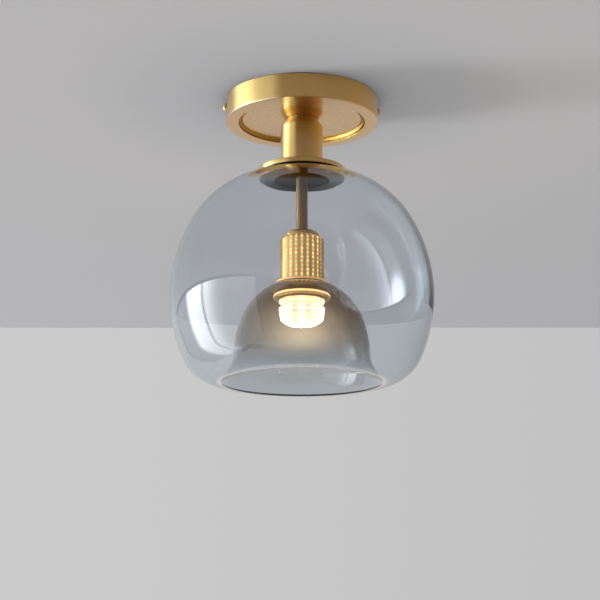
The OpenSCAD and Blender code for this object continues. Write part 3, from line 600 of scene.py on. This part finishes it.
# %% Carrier, ring and their gaskets
flange_r, neck_low, spigot_top = round_of("shade_carrier")
NECK_R, NECK_H, LIGHT_BORE = 18.3, 13.0, 16.8
flange_low = neck_low + NECK_H
sink_face = flange_low - 1.0
carrier_spigot_r = cup_bore - 0.1
spigot_bore = carrier_spigot_r - 1.6
turned_piece("shade_carrier", (
    [(spigot_bore, spigot_top, 0), (carrier_spigot_r, spigot_top, 0.3), (carrier_spigot_r, cup_low, 0),
     (flange_r, cup_low, 0.75), (flange_r, flange_low, 0.75), (NECK_R, flange_low, 0)]
    + thread(NECK_R, flange_low - 3.5, neck_low + 0.4, depth=0.4)
    + [(NECK_R - 0.3, neck_low, 0.15), (LIGHT_BORE, neck_low, 0.15), (LIGHT_BORE, sink_face, 0),
       (spigot_bore, sink_face, 0)]), flange_brass, steps=128)

ring_r, ring_low, ring_top = round_of("shade_ring")
HUB_R, FLANGE_H, GRIP_GROOVES, GRIP_DEPTH = 20.4, 2.8, 36, 0.5
RING_BORE, flange_top = NECK_R + 0.05, ring_low + FLANGE_H
ring = turned([
    (RING_BORE, ring_top, 0.1), (HUB_R, ring_top, 0.15), (HUB_R, ring_top - 0.5, 0),
    (HUB_R, flange_top + 0.5, 0), (HUB_R, flange_top, 0), (ring_r, flange_top, 0.5), (ring_r, ring_low, 0.6),
    (RING_BORE, ring_low, 0.15)], steps=4 * GRIP_GROOVES, segments=4)
for vert in ring.verts:
    column = round(math.atan2(vert.co.y, vert.co.x) / math.tau * 4 * GRIP_GROOVES)
    on_hub = abs(vert.co.xy.length - HUB_R * MM) < 0.01 * MM
    if on_hub and column % 4 == 0 and flange_top + 0.2 < vert.co.z / MM < ring_top - 0.2:
        vert.co.xy *= (HUB_R - GRIP_DEPTH) / HUB_R
finish_piece(ring, "shade_ring_brass", "ring", ring_brass, "satin_brass", "shade_ring")

for node, body, material, slot, clearance in (("flange_gasket", "fixture", black_rubber, "black_rubber", 0.1),
                                              ("ring_gasket", "shade", clear_rubber, "clear_rubber", 0.6)):
    soft = turned(flat_ring(node, NECK_R + clearance, 0, 0.2, 0.2, 0))
    finish_piece(soft, node + "_rubber", body, material, slot, node)

# %% [markdown]
# ## The glass shade
# The shade is one blown bubble. Its wall starts at the top hole, swells to the globe, turns in at the
# bottom, folds tightly at the mouth and rises again as the bell. The middle of the wall is drawn as a
# chain of arcs that run smoothly into one another: one point is spun about each arc's centre in
# turn. The line is spun round the axis, and a Solidify modifier then gives it its 2.5 mm of glass.

# %% Walk along the glass wall
GLASS_T = 2.5
HALF_T = GLASS_T / 2
globe_r, _, seat_z = round_of("glass_shade")
SEAT_R, HOLE_R, NECK_HOLE_R = 32.0, 22.0, 18.9
SHOULDER_R, SIDE_R, SIDE_UP, SIDE_DOWN = 78.0, 117.0, 30.0, 25.0
TURN_IN_R, FOLD_R, RISE_R, FLARE_R = 31.3, 2.5, 19.6, 91.0  # round the bottom, the mouth and up into the bell
BELL_TURN, DOME_R, CROWN_R = 19.0, 48.0, 6.0
shoulder_centre = globe_r - SIDE_R + (SIDE_R - SHOULDER_R) * math.cos(math.radians(SIDE_UP))


def walk_wall(bm, vert, heading, steps):
    """Goes on from a vertex. A step is (radius in mm, turn in degrees, pieces); turn 0 is a straight run."""
    for radius, turn, pieces in steps:
        across = Vector((-math.sin(math.radians(heading)), 0, math.cos(math.radians(heading))))
        if turn:
            centre = vert.co + across * math.copysign(radius * MM, turn)
            made = bmesh.ops.spin(bm, geom=[vert], cent=centre, axis=(0, 1, 0), dvec=(0, 0, 0),
                                  angle=-math.radians(turn), steps=pieces, use_merge=False,
                                  use_normal_flip=False, use_duplicate=False)
            vert = made["geom_last"][0]
        else:
            vert = bmesh.ops.extrude_vert_indiv(bm, verts=[vert])["verts"][0]
            vert.co += Vector((across.z, 0, -across.x)) * radius * MM
        heading += turn
    return vert, heading


seat_slope = math.degrees(math.asin((SEAT_R - shoulder_centre) / (SHOULDER_R - HALF_T)))
wall = bmesh.new()
end = wall.verts.new(Vector((HOLE_R, 0, seat_z - HALF_T)) * MM)
end, heading = walk_wall(wall, end, 0, [(SEAT_R - HOLE_R, 0, 1)])
end, heading = walk_wall(wall, end, -seat_slope, [
    (SHOULDER_R - HALF_T, seat_slope + SIDE_UP - 90, 16), (SIDE_R - HALF_T, -SIDE_UP, 12),
    (SIDE_R - HALF_T, -SIDE_DOWN, 10), (TURN_IN_R - HALF_T, SIDE_DOWN - 90, 16), (FOLD_R, -30, 6),
    (RISE_R, -60, 14), (FLARE_R - HALF_T, BELL_TURN, 10)])
dome_centre = end.co.x / MM - (DOME_R - HALF_T) * math.cos(math.radians(BELL_TURN))
crown_slope = math.degrees(math.asin((NECK_HOLE_R + 2 - dome_centre) / (DOME_R - CROWN_R)))
end, heading = walk_wall(wall, end, 90 + BELL_TURN, [
    (DOME_R - HALF_T, 90 - BELL_TURN - crown_slope, 16), (CROWN_R - HALF_T, crown_slope, 6), (2.0, 0, 1)])
print("wall points:", len(wall.verts), "end", [round(c / MM, 2) for c in end.co], "heading", round(heading, 2))

# %% Spin the wall into the shade
spin_whole(wall, 160)
shade = finish_piece(wall, "glass_shade_blown", "shade", smoke_glass, "smoke_glass", "glass_shade",
                     sharp=80, weighted=False)
thick = shade.modifiers.new("wall", "SOLIDIFY")
thick.thickness, thick.offset = GLASS_T * MM, 0
thick.use_even_offset = thick.use_quality_normals = True
shade.visible_diffuse = False  # matt things take their light past the glass, or they would stay noisy

# %% [markdown]
# ## The crystal lens
# The lens is turned first: a spigot up in the neck, a collar, a V groove and a body with a dished lower
# face. The petals are cut afterwards. Each column of points of the body is pulled in by an amount that
# depends on its angle, which leaves ten broad petals with narrow flutes between them.

# %% Crystal lens
COLLAR_R, COLLAR_H, GROOVE_R, LENS_R, LENS_LOW_R = 17.6, 1.5, 15.8, 18.1, 16.6
# for each petal: its columns of points, the flutes' depth, their width as a share of a petal, and its bulge
COLUMNS, FLUTE_DEPTH, FLUTE_W, BULGE = 16, 1.1, 0.36, 0.25
_, lens_low, lens_top = round_of("crystal_lens")
collar_low = neck_low - COLLAR_H
body_top = collar_low - 4.8
lens_corners = [
    (0, lens_top, 0), (LIGHT_BORE - 0.3, lens_top, 0.3), (LIGHT_BORE - 0.3, neck_low, 0),
    (COLLAR_R, neck_low, 0.2), (COLLAR_R, collar_low, 0.3), (GROOVE_R, collar_low - 2.4, 0.4),
    (LENS_R, body_top - 0.5, 0.6),
    (LENS_R - 0.5, body_top - 5.0, 0), (LENS_LOW_R + 0.3, lens_low + 4.2, 0.8),
    (LENS_LOW_R - 3.0, lens_low + 1.4, 1.2), (LENS_LOW_R - 5.6, lens_low, 1.2),
    (LENS_LOW_R - 7.6, lens_low + 0.6, 0.6), (4.0, lens_low + 1.15, 0), (0, lens_low + 1.2, 0),
]
lens = turned(lens_corners, closed=False, steps=PETALS * COLUMNS, segments=4)
for vert in lens.verts:
    radius = vert.co.xy.length / MM
    share = ((math.atan2(vert.co.y, vert.co.x) - PETAL_TURN) / math.tau * PETALS) % 1.0
    from_joint = abs(share - 0.5) * 2
    cut_in = FLUTE_DEPTH * math.sqrt(max(0.0, 1 - (from_joint / FLUTE_W) ** 2))
    bulge = BULGE * from_joint ** 2
    reach = min(1.0, max(0.0, (body_top + 0.6 - vert.co.z / MM) / 1.2)) * min(1.0, max(0.0, (radius - 5) / 9))
    if reach:
        vert.co.xy *= (radius - reach * (cut_in + BULGE - bulge)) / radius
finish_piece(lens, "crystal_lens_cut", "fixture", clear_crystal, "clear_crystal", "crystal_lens", sharp=28)

# %% [markdown]
# ## Inside the canopy
# The steel bracket, the terminal block, the LED driver, the heat sink and the LED chips have the right
# shape in the CAD model already, so each is a copy of its node's mesh. The copy's loose triangles are
# merged and their flat faces joined, and a Bevel modifier then eases the edges, because sheet metal and
# mouldings are never sharp.

# %% Eased copies of CAD nodes
for node, material, slot, ease_mm in (("mounting_bracket", zinc_steel, "zinc_steel", 0.25),
                                      ("terminal_block", terminal_plastic, "terminal_plastic", 0.2),
                                      ("led_driver", driver_plastic, "driver_plastic", 0.5),
                                      ("heat_sink", aluminium, "aluminium", 0.15),
                                      ("led_chips", led_phosphor, "led_phosphor", 0.08)):
    bm = bmesh.new()
    bm.from_mesh(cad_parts[node].data)
    bmesh.ops.remove_doubles(bm, verts=bm.verts[:], dist=SAME_POINT)
    bmesh.ops.dissolve_limit(bm, angle_limit=math.radians(1), verts=bm.verts[:], edges=bm.edges[:])
    piece = finish_piece(bm, node + "_eased", "fixture", material, slot, node)
    ease = piece.modifiers.new("eased edges", "BEVEL")
    ease.width, ease.segments, ease.limit_method, ease.angle_limit = ease_mm * MM, 2, "ANGLE", math.radians(35)
    piece.modifiers.move(1, 0)

# %% [markdown]
# ## Nuts, washer, board and earth screw
# A hexagon nut is turned as a ring, and its outer wall is then moved out to the six flats. Its corners
# stay within a slightly smaller circle at the top and bottom, which is the chamfer of a real nut. The
# lock washer's teeth are made in the same way, by pulling part of its rim in.

# %% Nuts
ACROSS_FLATS = 14.0
flat = ACROSS_FLATS / 2
for node in ("canopy_locknut", "cup_locknut"):
    _, low, high = round_of(node)
    bm = turned([(ROD_HOLE, high, 0.2), (flat, high, 0), (flat + 0.01, high - 0.6, 0),
                 (flat + 0.01, low + 0.6, 0), (flat, low, 0), (ROD_HOLE, low, 0.2)], steps=72)
    for vert in bm.verts:
        if vert.co.xy.length > (flat - 0.2) * MM:
            turn = math.atan2(vert.co.y, vert.co.x) % (math.pi / 3) - math.pi / 6
            at_face = vert.co.z / MM > high - 0.3 or vert.co.z / MM < low + 0.3
            limit = flat * 1.01 if at_face else flat / math.cos(math.pi / 6)
            vert.co.xy *= min(flat / math.cos(turn), limit) * MM / vert.co.xy.length
    finish_piece(bm, node + "_brass", "fixture", plain_brass, "plain_brass", node, sharp=25)

# %% Washer, board and earth screw
TEETH, TOOTH_COLUMNS, TOOTH_CUT = 12, 6, 0.88
washer = turned(flat_ring("lock_washer", ROD_HOLE, 0.1, 0.25, 0.25, 0.1), steps=TEETH * TOOTH_COLUMNS)
for vert in washer.verts:
    if vert.co.xy.length > (round_of("lock_washer")[0] - 0.5) * MM:
        column = round(math.atan2(vert.co.y, vert.co.x) / math.tau * TEETH * TOOTH_COLUMNS) % TOOTH_COLUMNS
        vert.co.xy *= 1.0 if column in (0, 1, 5) else TOOTH_CUT
finish_piece(washer, "lock_washer_steel", "fixture", zinc_steel, "zinc_steel", "lock_washer")

turned_piece("led_board", flat_ring("led_board", 0, 0, 0.1, 0.1, 0), board_white, "board_white", "_white",
             closed=False)

EARTH_HEAD, EARTH_SHANK, STRAP_LOW = 4.0, 2.0, -1.6
earth_low, earth_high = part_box("earth_screw")
head_low, shank_top = earth_low.z / MM, earth_high.z / MM
earth = turned([(0, shank_top, 0), (EARTH_SHANK, shank_top, 0.1), (EARTH_SHANK, STRAP_LOW, 0),
                (EARTH_HEAD, STRAP_LOW, 0.1), (EARTH_HEAD, head_low, 0.7), (0, head_low, 0)],
               closed=False, steps=48)
bmesh.ops.translate(earth, verts=earth.verts[:], vec=((earth_low.x + earth_high.x) / 2, 0, 0))
finish_piece(earth, "earth_screw_brass", "fixture", plain_brass, "plain_brass", "earth_screw")

# %% [markdown]
# ## Terminal screws
# Each way of the terminal block has two clamping screws at the bottom of round wells. They are short
# turned slugs. Their slots, which the wells hide, are left out.

# %% Terminal screws
WAY_PITCH, SCREW_APART, WELL, SLUG_R, SLUG_HALF = 5.0, 3.75, 3.0, 1.25, 0.7
block_low, block_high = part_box("terminal_block")
block_x = (block_low.x + block_high.x) / 2 / MM
for way in (-1, 0, 1):
    for side in (-1, 1):
        slug = turned([(0, SLUG_HALF, 0), (SLUG_R, SLUG_HALF, 0.1), (SLUG_R, -SLUG_HALF, 0.15),
                       (0, -SLUG_HALF, 0)], closed=False, steps=24)
        spot = Vector((block_x + side * SCREW_APART, way * WAY_PITCH, block_low.z / MM + WELL - 0.9))
        bmesh.ops.translate(slug, verts=slug.verts[:], vec=spot * MM)
        finish_piece(slug, f"terminal_screw_{way + 2}_{'out' if side > 0 else 'in'}", "fixture", plain_brass,
                     "plain_brass")

# %% [markdown]
# ## The two inner leads
# One lead runs from the terminals to the driver, the other from the driver over the bracket and down
# the rod. A sheath bends only in smooth curves, so each is a Bezier curve through the route's points
# with a round bevel, made a mesh. Both ends go into what they serve.

# %% Leads
LEAD_R = 1.5


def lead(node, route):
    """A round lead along a route in mm, in place of one CAD node."""
    curve = bpy.data.curves.new(node, "CURVE")
    curve.dimensions, curve.bevel_depth, curve.bevel_resolution = "3D", LEAD_R * MM, 3
    curve.resolution_u, curve.use_fill_caps = 6, True
    spline = curve.splines.new("BEZIER")
    spline.bezier_points.add(len(route) - 1)
    for point, spot in zip(spline.bezier_points, route):
        point.co = Vector(spot) * MM
        point.handle_left_type = point.handle_right_type = "AUTO"
    shape = bpy.data.objects.new(node, curve)
    COLLECTION.objects.link(shape)
    bpy.context.view_layer.update()
    bm = bmesh.new()
    bm.from_mesh(evaluated_mesh(shape))
    bpy.data.objects.remove(shape)
    bmesh.ops.remove_doubles(bm, verts=bm.verts[:], dist=SAME_POINT)
    bmesh.ops.recalc_face_normals(bm, faces=bm.faces[:])
    finish_piece(bm, node + "_sheath", "fixture", lead_sheath, "lead_sheath", node)


BLOCK_Z, LEAD_Z, OVER_Z = -6.6, -10.4, -3.5  # at the terminals, beside the driver and over the strap
lead("supply_lead", [
    (41, -8.5, BLOCK_Z), (41, -10.5, BLOCK_Z), (41, -12.5, BLOCK_Z), (40, -16.5, LEAD_Z), (37, -24, LEAD_Z),
    (33, -28, LEAD_Z), (27, -29, LEAD_Z), (25, -29, LEAD_Z), (23, -29, LEAD_Z)])
lead("lamp_lead", [
    (-23, -29, LEAD_Z), (-24.5, -29, LEAD_Z), (-26, -29, LEAD_Z), (-29, -28, LEAD_Z), (-31.5, -25, LEAD_Z),
    (-32, -20, LEAD_Z), (-28, -14, -5), (-20, -8, OVER_Z), (-12, -3.4, OVER_Z), (-6, -0.8, -3.7),
    (-2.4, 0, -5.5), (-0.6, 0, -10.1), (0, 0, -17.1), (0, 0, -39.1), (0, 0, -101.5), (0, 0, -124.5),
    (0, 0, sink_face + 19)])

# %% [markdown]
# ## The room
# The photograph shows a pale ceiling that meets a slightly lighter wall. The ceiling is a flat sheet
# with a round hole under the canopy, cut off where the wall begins. The wall is the world's own colour
# behind it. Seen from above the ceiling is clear, so that the inside of the canopy can be looked at.
# Glass mirrors the ceiling brighter at the left, and the bell, which is seen through many layers of
# glass, gets one even brightness.

# %% Ceiling and floor
CAMERA_TURN = math.radians(-5.5)
WALL_DISTANCE, LEFT_WALL_X = 0.86, -0.9
SHEET_R, CEILING_HOLE_R, FLOOR_Z = 4.0, 58.8 * MM, -0.8
MANY_LAYERS = 5.5  # a ray that has passed more glass faces than this comes through the bell


def stage_object(bm, name, material):
    """Makes a bmesh an object with a material, for the room around the light."""
    sheet = add_object(bm, name, material)
    return sheet


def face_all(bm, way):
    """Turns every face of a level sheet up for way 1, or down for way -1."""
    for face in bm.faces:
        if face.normal.z * way < 0:
            face.normal_flip()


def seen_from_front(name, colour, painted_shade_colour, mirrored=None):
    """Matt paint that shows only from its front, with painted shade towards the camera's side of the room.

    mirrored is how bright a mirror sees it at the left and at the right."""
    material, tree = new_material(name)
    parts = add_node(tree, "SeparateXYZ", [add_node(tree, "TexCoord", out="Object")], None)
    # painted shade: the paint darkens towards -Y, where the room's light falls off
    near = add_node(tree, "MapRange", [parts[1], -0.2, -1.1])
    shade = add_node(tree, "Mix", {0: near, 6: linear(colour), 7: linear(painted_shade_colour)}, 2, data_type="RGBA")
    paint = add_node(tree, "BsdfDiffuse", [shade])
    if mirrored:
        path = add_node(tree, "LightPath", out=None)
        bright = add_node(tree, "Emission", {1: add_node(tree, "MapRange", [parts[0], -0.8, 0.8, *mirrored])})
        once = add_node(tree, "Math", [path["Glossy Depth"], 0.5], operation="GREATER_THAN")
        once = add_node(tree, "Math", [once, path["Is Singular Ray"]], operation="MULTIPLY")
        paint = add_node(tree, "MixShader", [once, paint, bright])
        deep = add_node(tree, "Math", [path["Transmission Depth"], MANY_LAYERS], operation="GREATER_THAN")
        paint = add_node(tree, "MixShader", [deep, paint, add_node(tree, "Emission", {1: 0.50})])
    back = add_node(tree, "NewGeometry", out="Backfacing")
    both = add_node(tree, "MixShader", [back, paint, add_node(tree, "BsdfTransparent")])
    add_node(tree, "OutputMaterial", [both])
    return material


ceiling_bm = bmesh.new()
rim = [ceiling_bm.verts.new((radius, 0, 0.3 * MM)) for radius in (CEILING_HOLE_R, SHEET_R)]
ceiling_bm.edges.new(rim)
spin_whole(ceiling_bm, 96)
face_all(ceiling_bm, -1)
to_wall = Vector((-math.sin(CAMERA_TURN), math.cos(CAMERA_TURN), 0))
for point, outwards in ((to_wall * WALL_DISTANCE, to_wall), ((LEFT_WALL_X, 0, 0), (-1, 0, 0))):
    bmesh.ops.bisect_plane(ceiling_bm, geom=ceiling_bm.verts[:] + ceiling_bm.edges[:] + ceiling_bm.faces[:],
                           plane_co=point, plane_no=outwards, clear_outer=True)
ceiling_paint = seen_from_front("ceiling_paint", "#E9E9EB", "#8C8C8C", mirrored=(0.8, 0.0))
ceiling = stage_object(ceiling_bm, "ceiling", ceiling_paint)
ceiling.visible_diffuse = ceiling.visible_shadow = False

floor_bm = bmesh.new()
bmesh.ops.create_circle(floor_bm, cap_ends=True, segments=96, radius=SHEET_R,
                        matrix=Matrix.Translation((0, 0, FLOOR_Z)))
face_all(floor_bm, 1)
floor = stage_object(floor_bm, "floor", seen_from_front("floor_paint", "#F6F6F6", "#F6F6F6"))
floor.visible_glossy = floor.visible_transmission = False

# %% [markdown]
# ## The window
# The globe mirrors a tall bright window on its left, with a dark seam in it. One glowing sheet stands
# there: hot beyond the seam, softer before it, and dimmer downwards. A black sheet just behind it is
# the window's frame. Only a ray that has been mirrored sees them, so they don't show when the camera
# looks that way. A sharp mirror such as glass sees the window's true strength. Brushed brass gathers
# a taller and bluer part of it, so the glow is stronger and bluer for such rays.

# %% A window that reflections see
SEAM_OUTSIDE, SEAM_INSIDE = 0.085, 0.19  # where the seam is for the globe's outside, and for its inside
ONCE_BRUSHED, TWICE_BRUSHED, TWICE_SHARP = 5.0, 1.8, 2.5  # gain by the kind and the number of mirrors


def fading(tree, value, centre, width):
    """exp(-((value - centre) / width) squared): a soft spot."""
    off = add_node(tree, "Math", [value, centre], operation="SUBTRACT")
    share = add_node(tree, "Math", [off, 1 / width], operation="MULTIPLY")
    square = add_node(tree, "Math", [share, share], operation="MULTIPLY")
    down = add_node(tree, "Math", [square, -1.0], operation="MULTIPLY")
    return add_node(tree, "Math", [down], operation="EXPONENT")


def mirrored_sheet(name, material_name, start, end, top, bottom, light):
    """An upright sheet from one (x, y) to another that only mirrored rays see.

    light gives the colour and strength of its glow in a node tree."""
    material, tree = new_material(material_name)
    depth = add_node(tree, "LightPath", out="Glossy Depth")
    mirrored = add_node(tree, "Math", [depth, 0.5], operation="GREATER_THAN")
    clear, glow = add_node(tree, "BsdfTransparent"), add_node(tree, "Emission", light(tree))
    add_node(tree, "OutputMaterial", [add_node(tree, "MixShader", [mirrored, clear, glow])])
    material.cycles.emission_sampling = "NONE"
    bm = bmesh.new()
    low = bm.verts.new((*start, bottom)), bm.verts.new((*end, bottom))
    raised = bmesh.ops.extrude_edge_only(bm, edges=[bm.edges.new(low)])["geom"]
    top_verts = [v for v in raised if isinstance(v, bmesh.types.BMVert)]
    bmesh.ops.translate(bm, verts=top_verts, vec=(0, 0, top - bottom))
    sheet = stage_object(bm, name, material)
    sheet.visible_camera = sheet.visible_diffuse = sheet.visible_shadow = False


def window_light(tree):
    """The window's colour and strength."""
    parts = add_node(tree, "SeparateXYZ", [add_node(tree, "TexCoord", out="Object")], None)
    path = add_node(tree, "LightPath", out=None)
    sharp = path["Is Singular Ray"]
    inside = add_node(tree, "Math", [path["Transmission Depth"], 3.5], operation="GREATER_THAN")
    seam = add_node(tree, "MapRange", [inside, 0.0, 1.0, SEAM_OUTSIDE, SEAM_INSIDE])
    off = add_node(tree, "Math", [parts[1], seam], operation="SUBTRACT")
    # each part of the wash is a level, times a soft edge at the seam
    level = add_node(tree, "MapRange", [off, 0.30, 0.46, 1.0, 0.0], interpolation_type="SMOOTHSTEP")
    more = add_node(tree, "MapRange", [inside, 0.0, 1.0, 7.0, 1.8])
    level = add_node(tree, "Math", [level, more, 0.9], operation="MULTIPLY_ADD")
    edge = add_node(tree, "MapRange", [off, 0.014, 0.024], interpolation_type="SMOOTHSTEP")
    beyond = add_node(tree, "Math", [level, edge], operation="MULTIPLY")
    level = add_node(tree, "Math", [fading(tree, off, 0.0, 0.195), 6.2, 1.7], operation="MULTIPLY_ADD")
    edge = add_node(tree, "MapRange", [off, -0.010, -0.018], interpolation_type="SMOOTHSTEP")
    before = add_node(tree, "Math", [level, edge], operation="MULTIPLY")
    wash = add_node(tree, "Math", [beyond, before], operation="ADD")
    down = add_node(tree, "Math", [parts[2]], operation="EXPONENT")
    wash = add_node(tree, "Math", [wash, down], operation="MULTIPLY")
    # the globe's inside also mirrors one hot spot
    hot = add_node(tree, "Math", [fading(tree, off, 0.16, 0.13), fading(tree, parts[2], -0.10, 0.11)],
                   operation="MULTIPLY")
    hot = add_node(tree, "Math", [hot, inside], operation="MULTIPLY")
    strength = add_node(tree, "Math", [hot, 26.0, wash], operation="MULTIPLY_ADD")
    clean = add_node(tree, "MapRange", [path["Glossy Depth"], 1.0, 2.0, 1.0, TWICE_SHARP])
    brushed = add_node(tree, "MapRange", [path["Glossy Depth"], 1.0, 2.0, ONCE_BRUSHED, TWICE_BRUSHED])
    gain = add_node(tree, "Mix", {0: sharp, 2: brushed, 3: clean}, data_type="FLOAT")
    again = add_node(tree, "Math", [path["Glossy Depth"], 1.5], operation="GREATER_THAN")
    cool = add_node(tree, "Mix", {0: again, 6: linear("#9FB8FF"), 7: linear("#A8D8FF")}, 2, data_type="RGBA")
    colour = add_node(tree, "Mix", {0: sharp, 6: cool, 7: linear("#FBFCFF")}, 2, data_type="RGBA")
    return [colour, add_node(tree, "Math", [strength, gain], operation="MULTIPLY")]


mirrored_sheet("window", "window_glow", (LEFT_WALL_X, -0.95), (LEFT_WALL_X, 1.1), -0.028, -1.28, window_light)
FRAME_X = LEFT_WALL_X - 0.004
mirrored_sheet("window_frame", "frame_shadow", (FRAME_X, -0.98), (FRAME_X, 1.16), 0.0, -1.32,
               lambda tree: [linear("#FBFCFF"), 0.0])

# %% [markdown]
# ## Lamps and the world
# A soft sun from the left lights the matt things and draws the shadow on the ceiling. A small lamp in
# the crystal lights the ring and the bell from inside. The world is a plain room: dimmer towards the
# camera and paler towards the back wall, and a clear mirror sees its left side brighter. What the
# camera sees directly, or straight through glass, is one pale grey.

# %% Lamps
def lamp(name, kind, energy, colour, place, turn=(0, 0, 0), **settings):
    """A lamp whose own shape is never seen."""
    data = bpy.data.lights.new(name, kind)
    data.energy, data.color = energy, linear(colour)[:3]
    for setting, value in settings.items():
        setattr(data, setting, value)
    thing = bpy.data.objects.new(name, data)
    thing.location, thing.rotation_euler = place, turn
    COLLECTION.objects.link(thing)
    thing.visible_camera = thing.visible_glossy = thing.visible_transmission = False


LIGHT_UP, LIGHT_TURN = math.radians(17), math.radians(15)  # it shines upwards and turned towards the camera
towards = Vector((math.cos(LIGHT_UP) * math.cos(LIGHT_TURN), -math.cos(LIGHT_UP) * math.sin(LIGHT_TURN),
                  math.sin(LIGHT_UP)))
lamp("window_light", "SUN", 11.0, "#F8F9FF", (-2, 0.5, -0.6), towards.to_track_quat("-Z", "Y").to_euler(),
     angle=math.radians(27))
lamp("crystal_light", "POINT", 0.8, "#FFE2B0", (0, 0, (body_top - 6) * MM), shadow_soft_size=12 * MM)

# %% World
BACKDROP = 0.584
world = bpy.data.worlds.new("plain_room")
bpy.context.scene.world = world
world.use_nodes = True
sky = world.node_tree
sky.nodes.clear()
direction = add_node(sky, "SeparateXYZ", [add_node(sky, "TexCoord", out="Generated")], None)
path = add_node(sky, "LightPath", out=None)
room = add_node(sky, "MapRange", [direction[1], -0.9, 0.1, 0.15, 0.57])
sideways = add_node(sky, "Math", [direction[0], -0.3], operation="MULTIPLY")
room = add_node(sky, "Math", [sideways, path["Is Singular Ray"], room], operation="MULTIPLY_ADD",
                use_clamp=True)
matt = add_node(sky, "MapRange", [path["Is Diffuse Ray"], 0.0, 1.0, 1.0, 0.93])
room = add_node(sky, "Math", [room, matt], operation="MULTIPLY")
pale = add_node(sky, "Math", [direction[0], -0.14, BACKDROP], operation="MULTIPLY_ADD")
deep = add_node(sky, "Math", [path["Transmission Depth"], MANY_LAYERS], operation="GREATER_THAN")
pale = add_node(sky, "Mix", {0: deep, 2: pale, 3: 0.52}, data_type="FLOAT")
unmirrored = add_node(sky, "Math", [path["Glossy Depth"], 0.5], operation="LESS_THAN")
through = add_node(sky, "Math", [path["Is Transmission Ray"], unmirrored], operation="MULTIPLY")
straight = add_node(sky, "Math", [path["Is Camera Ray"], through], operation="MAXIMUM")
level = add_node(sky, "Mix", {0: straight, 2: room, 3: pale}, data_type="FLOAT")
add_node(sky, "OutputWorld", [add_node(sky, "Background", [linear("#FFFFFF"), level])])

# %% [markdown]
# ## The camera
# The camera stands below the light, slightly to its left, and looks up at it. Its place and focal length
# come from fitting the ellipses of the canopy and of the mouth. Glass needs long paths, so the limits
# on a ray's bounces are raised.

# %% Camera and ray limits
camera_data = bpy.data.cameras.new("camera")
camera_data.lens, camera_data.sensor_width = 89.94, 36.0
camera = bpy.data.objects.new("camera", camera_data)
camera.location = (-0.1074, -1.1158, -0.424)
camera.rotation_euler = (math.radians(90 + 13.15), 0, CAMERA_TURN + math.radians(0.076))
COLLECTION.objects.link(camera)
scene = bpy.context.scene
scene.camera = camera
scene.view_settings.view_transform = "Standard"
scene.cycles.caustics_reflective = False
scene.cycles.max_bounces = scene.cycles.transparent_max_bounces = 24
scene.cycles.transmission_bounces = 20
scene.cycles.glossy_bounces = 6
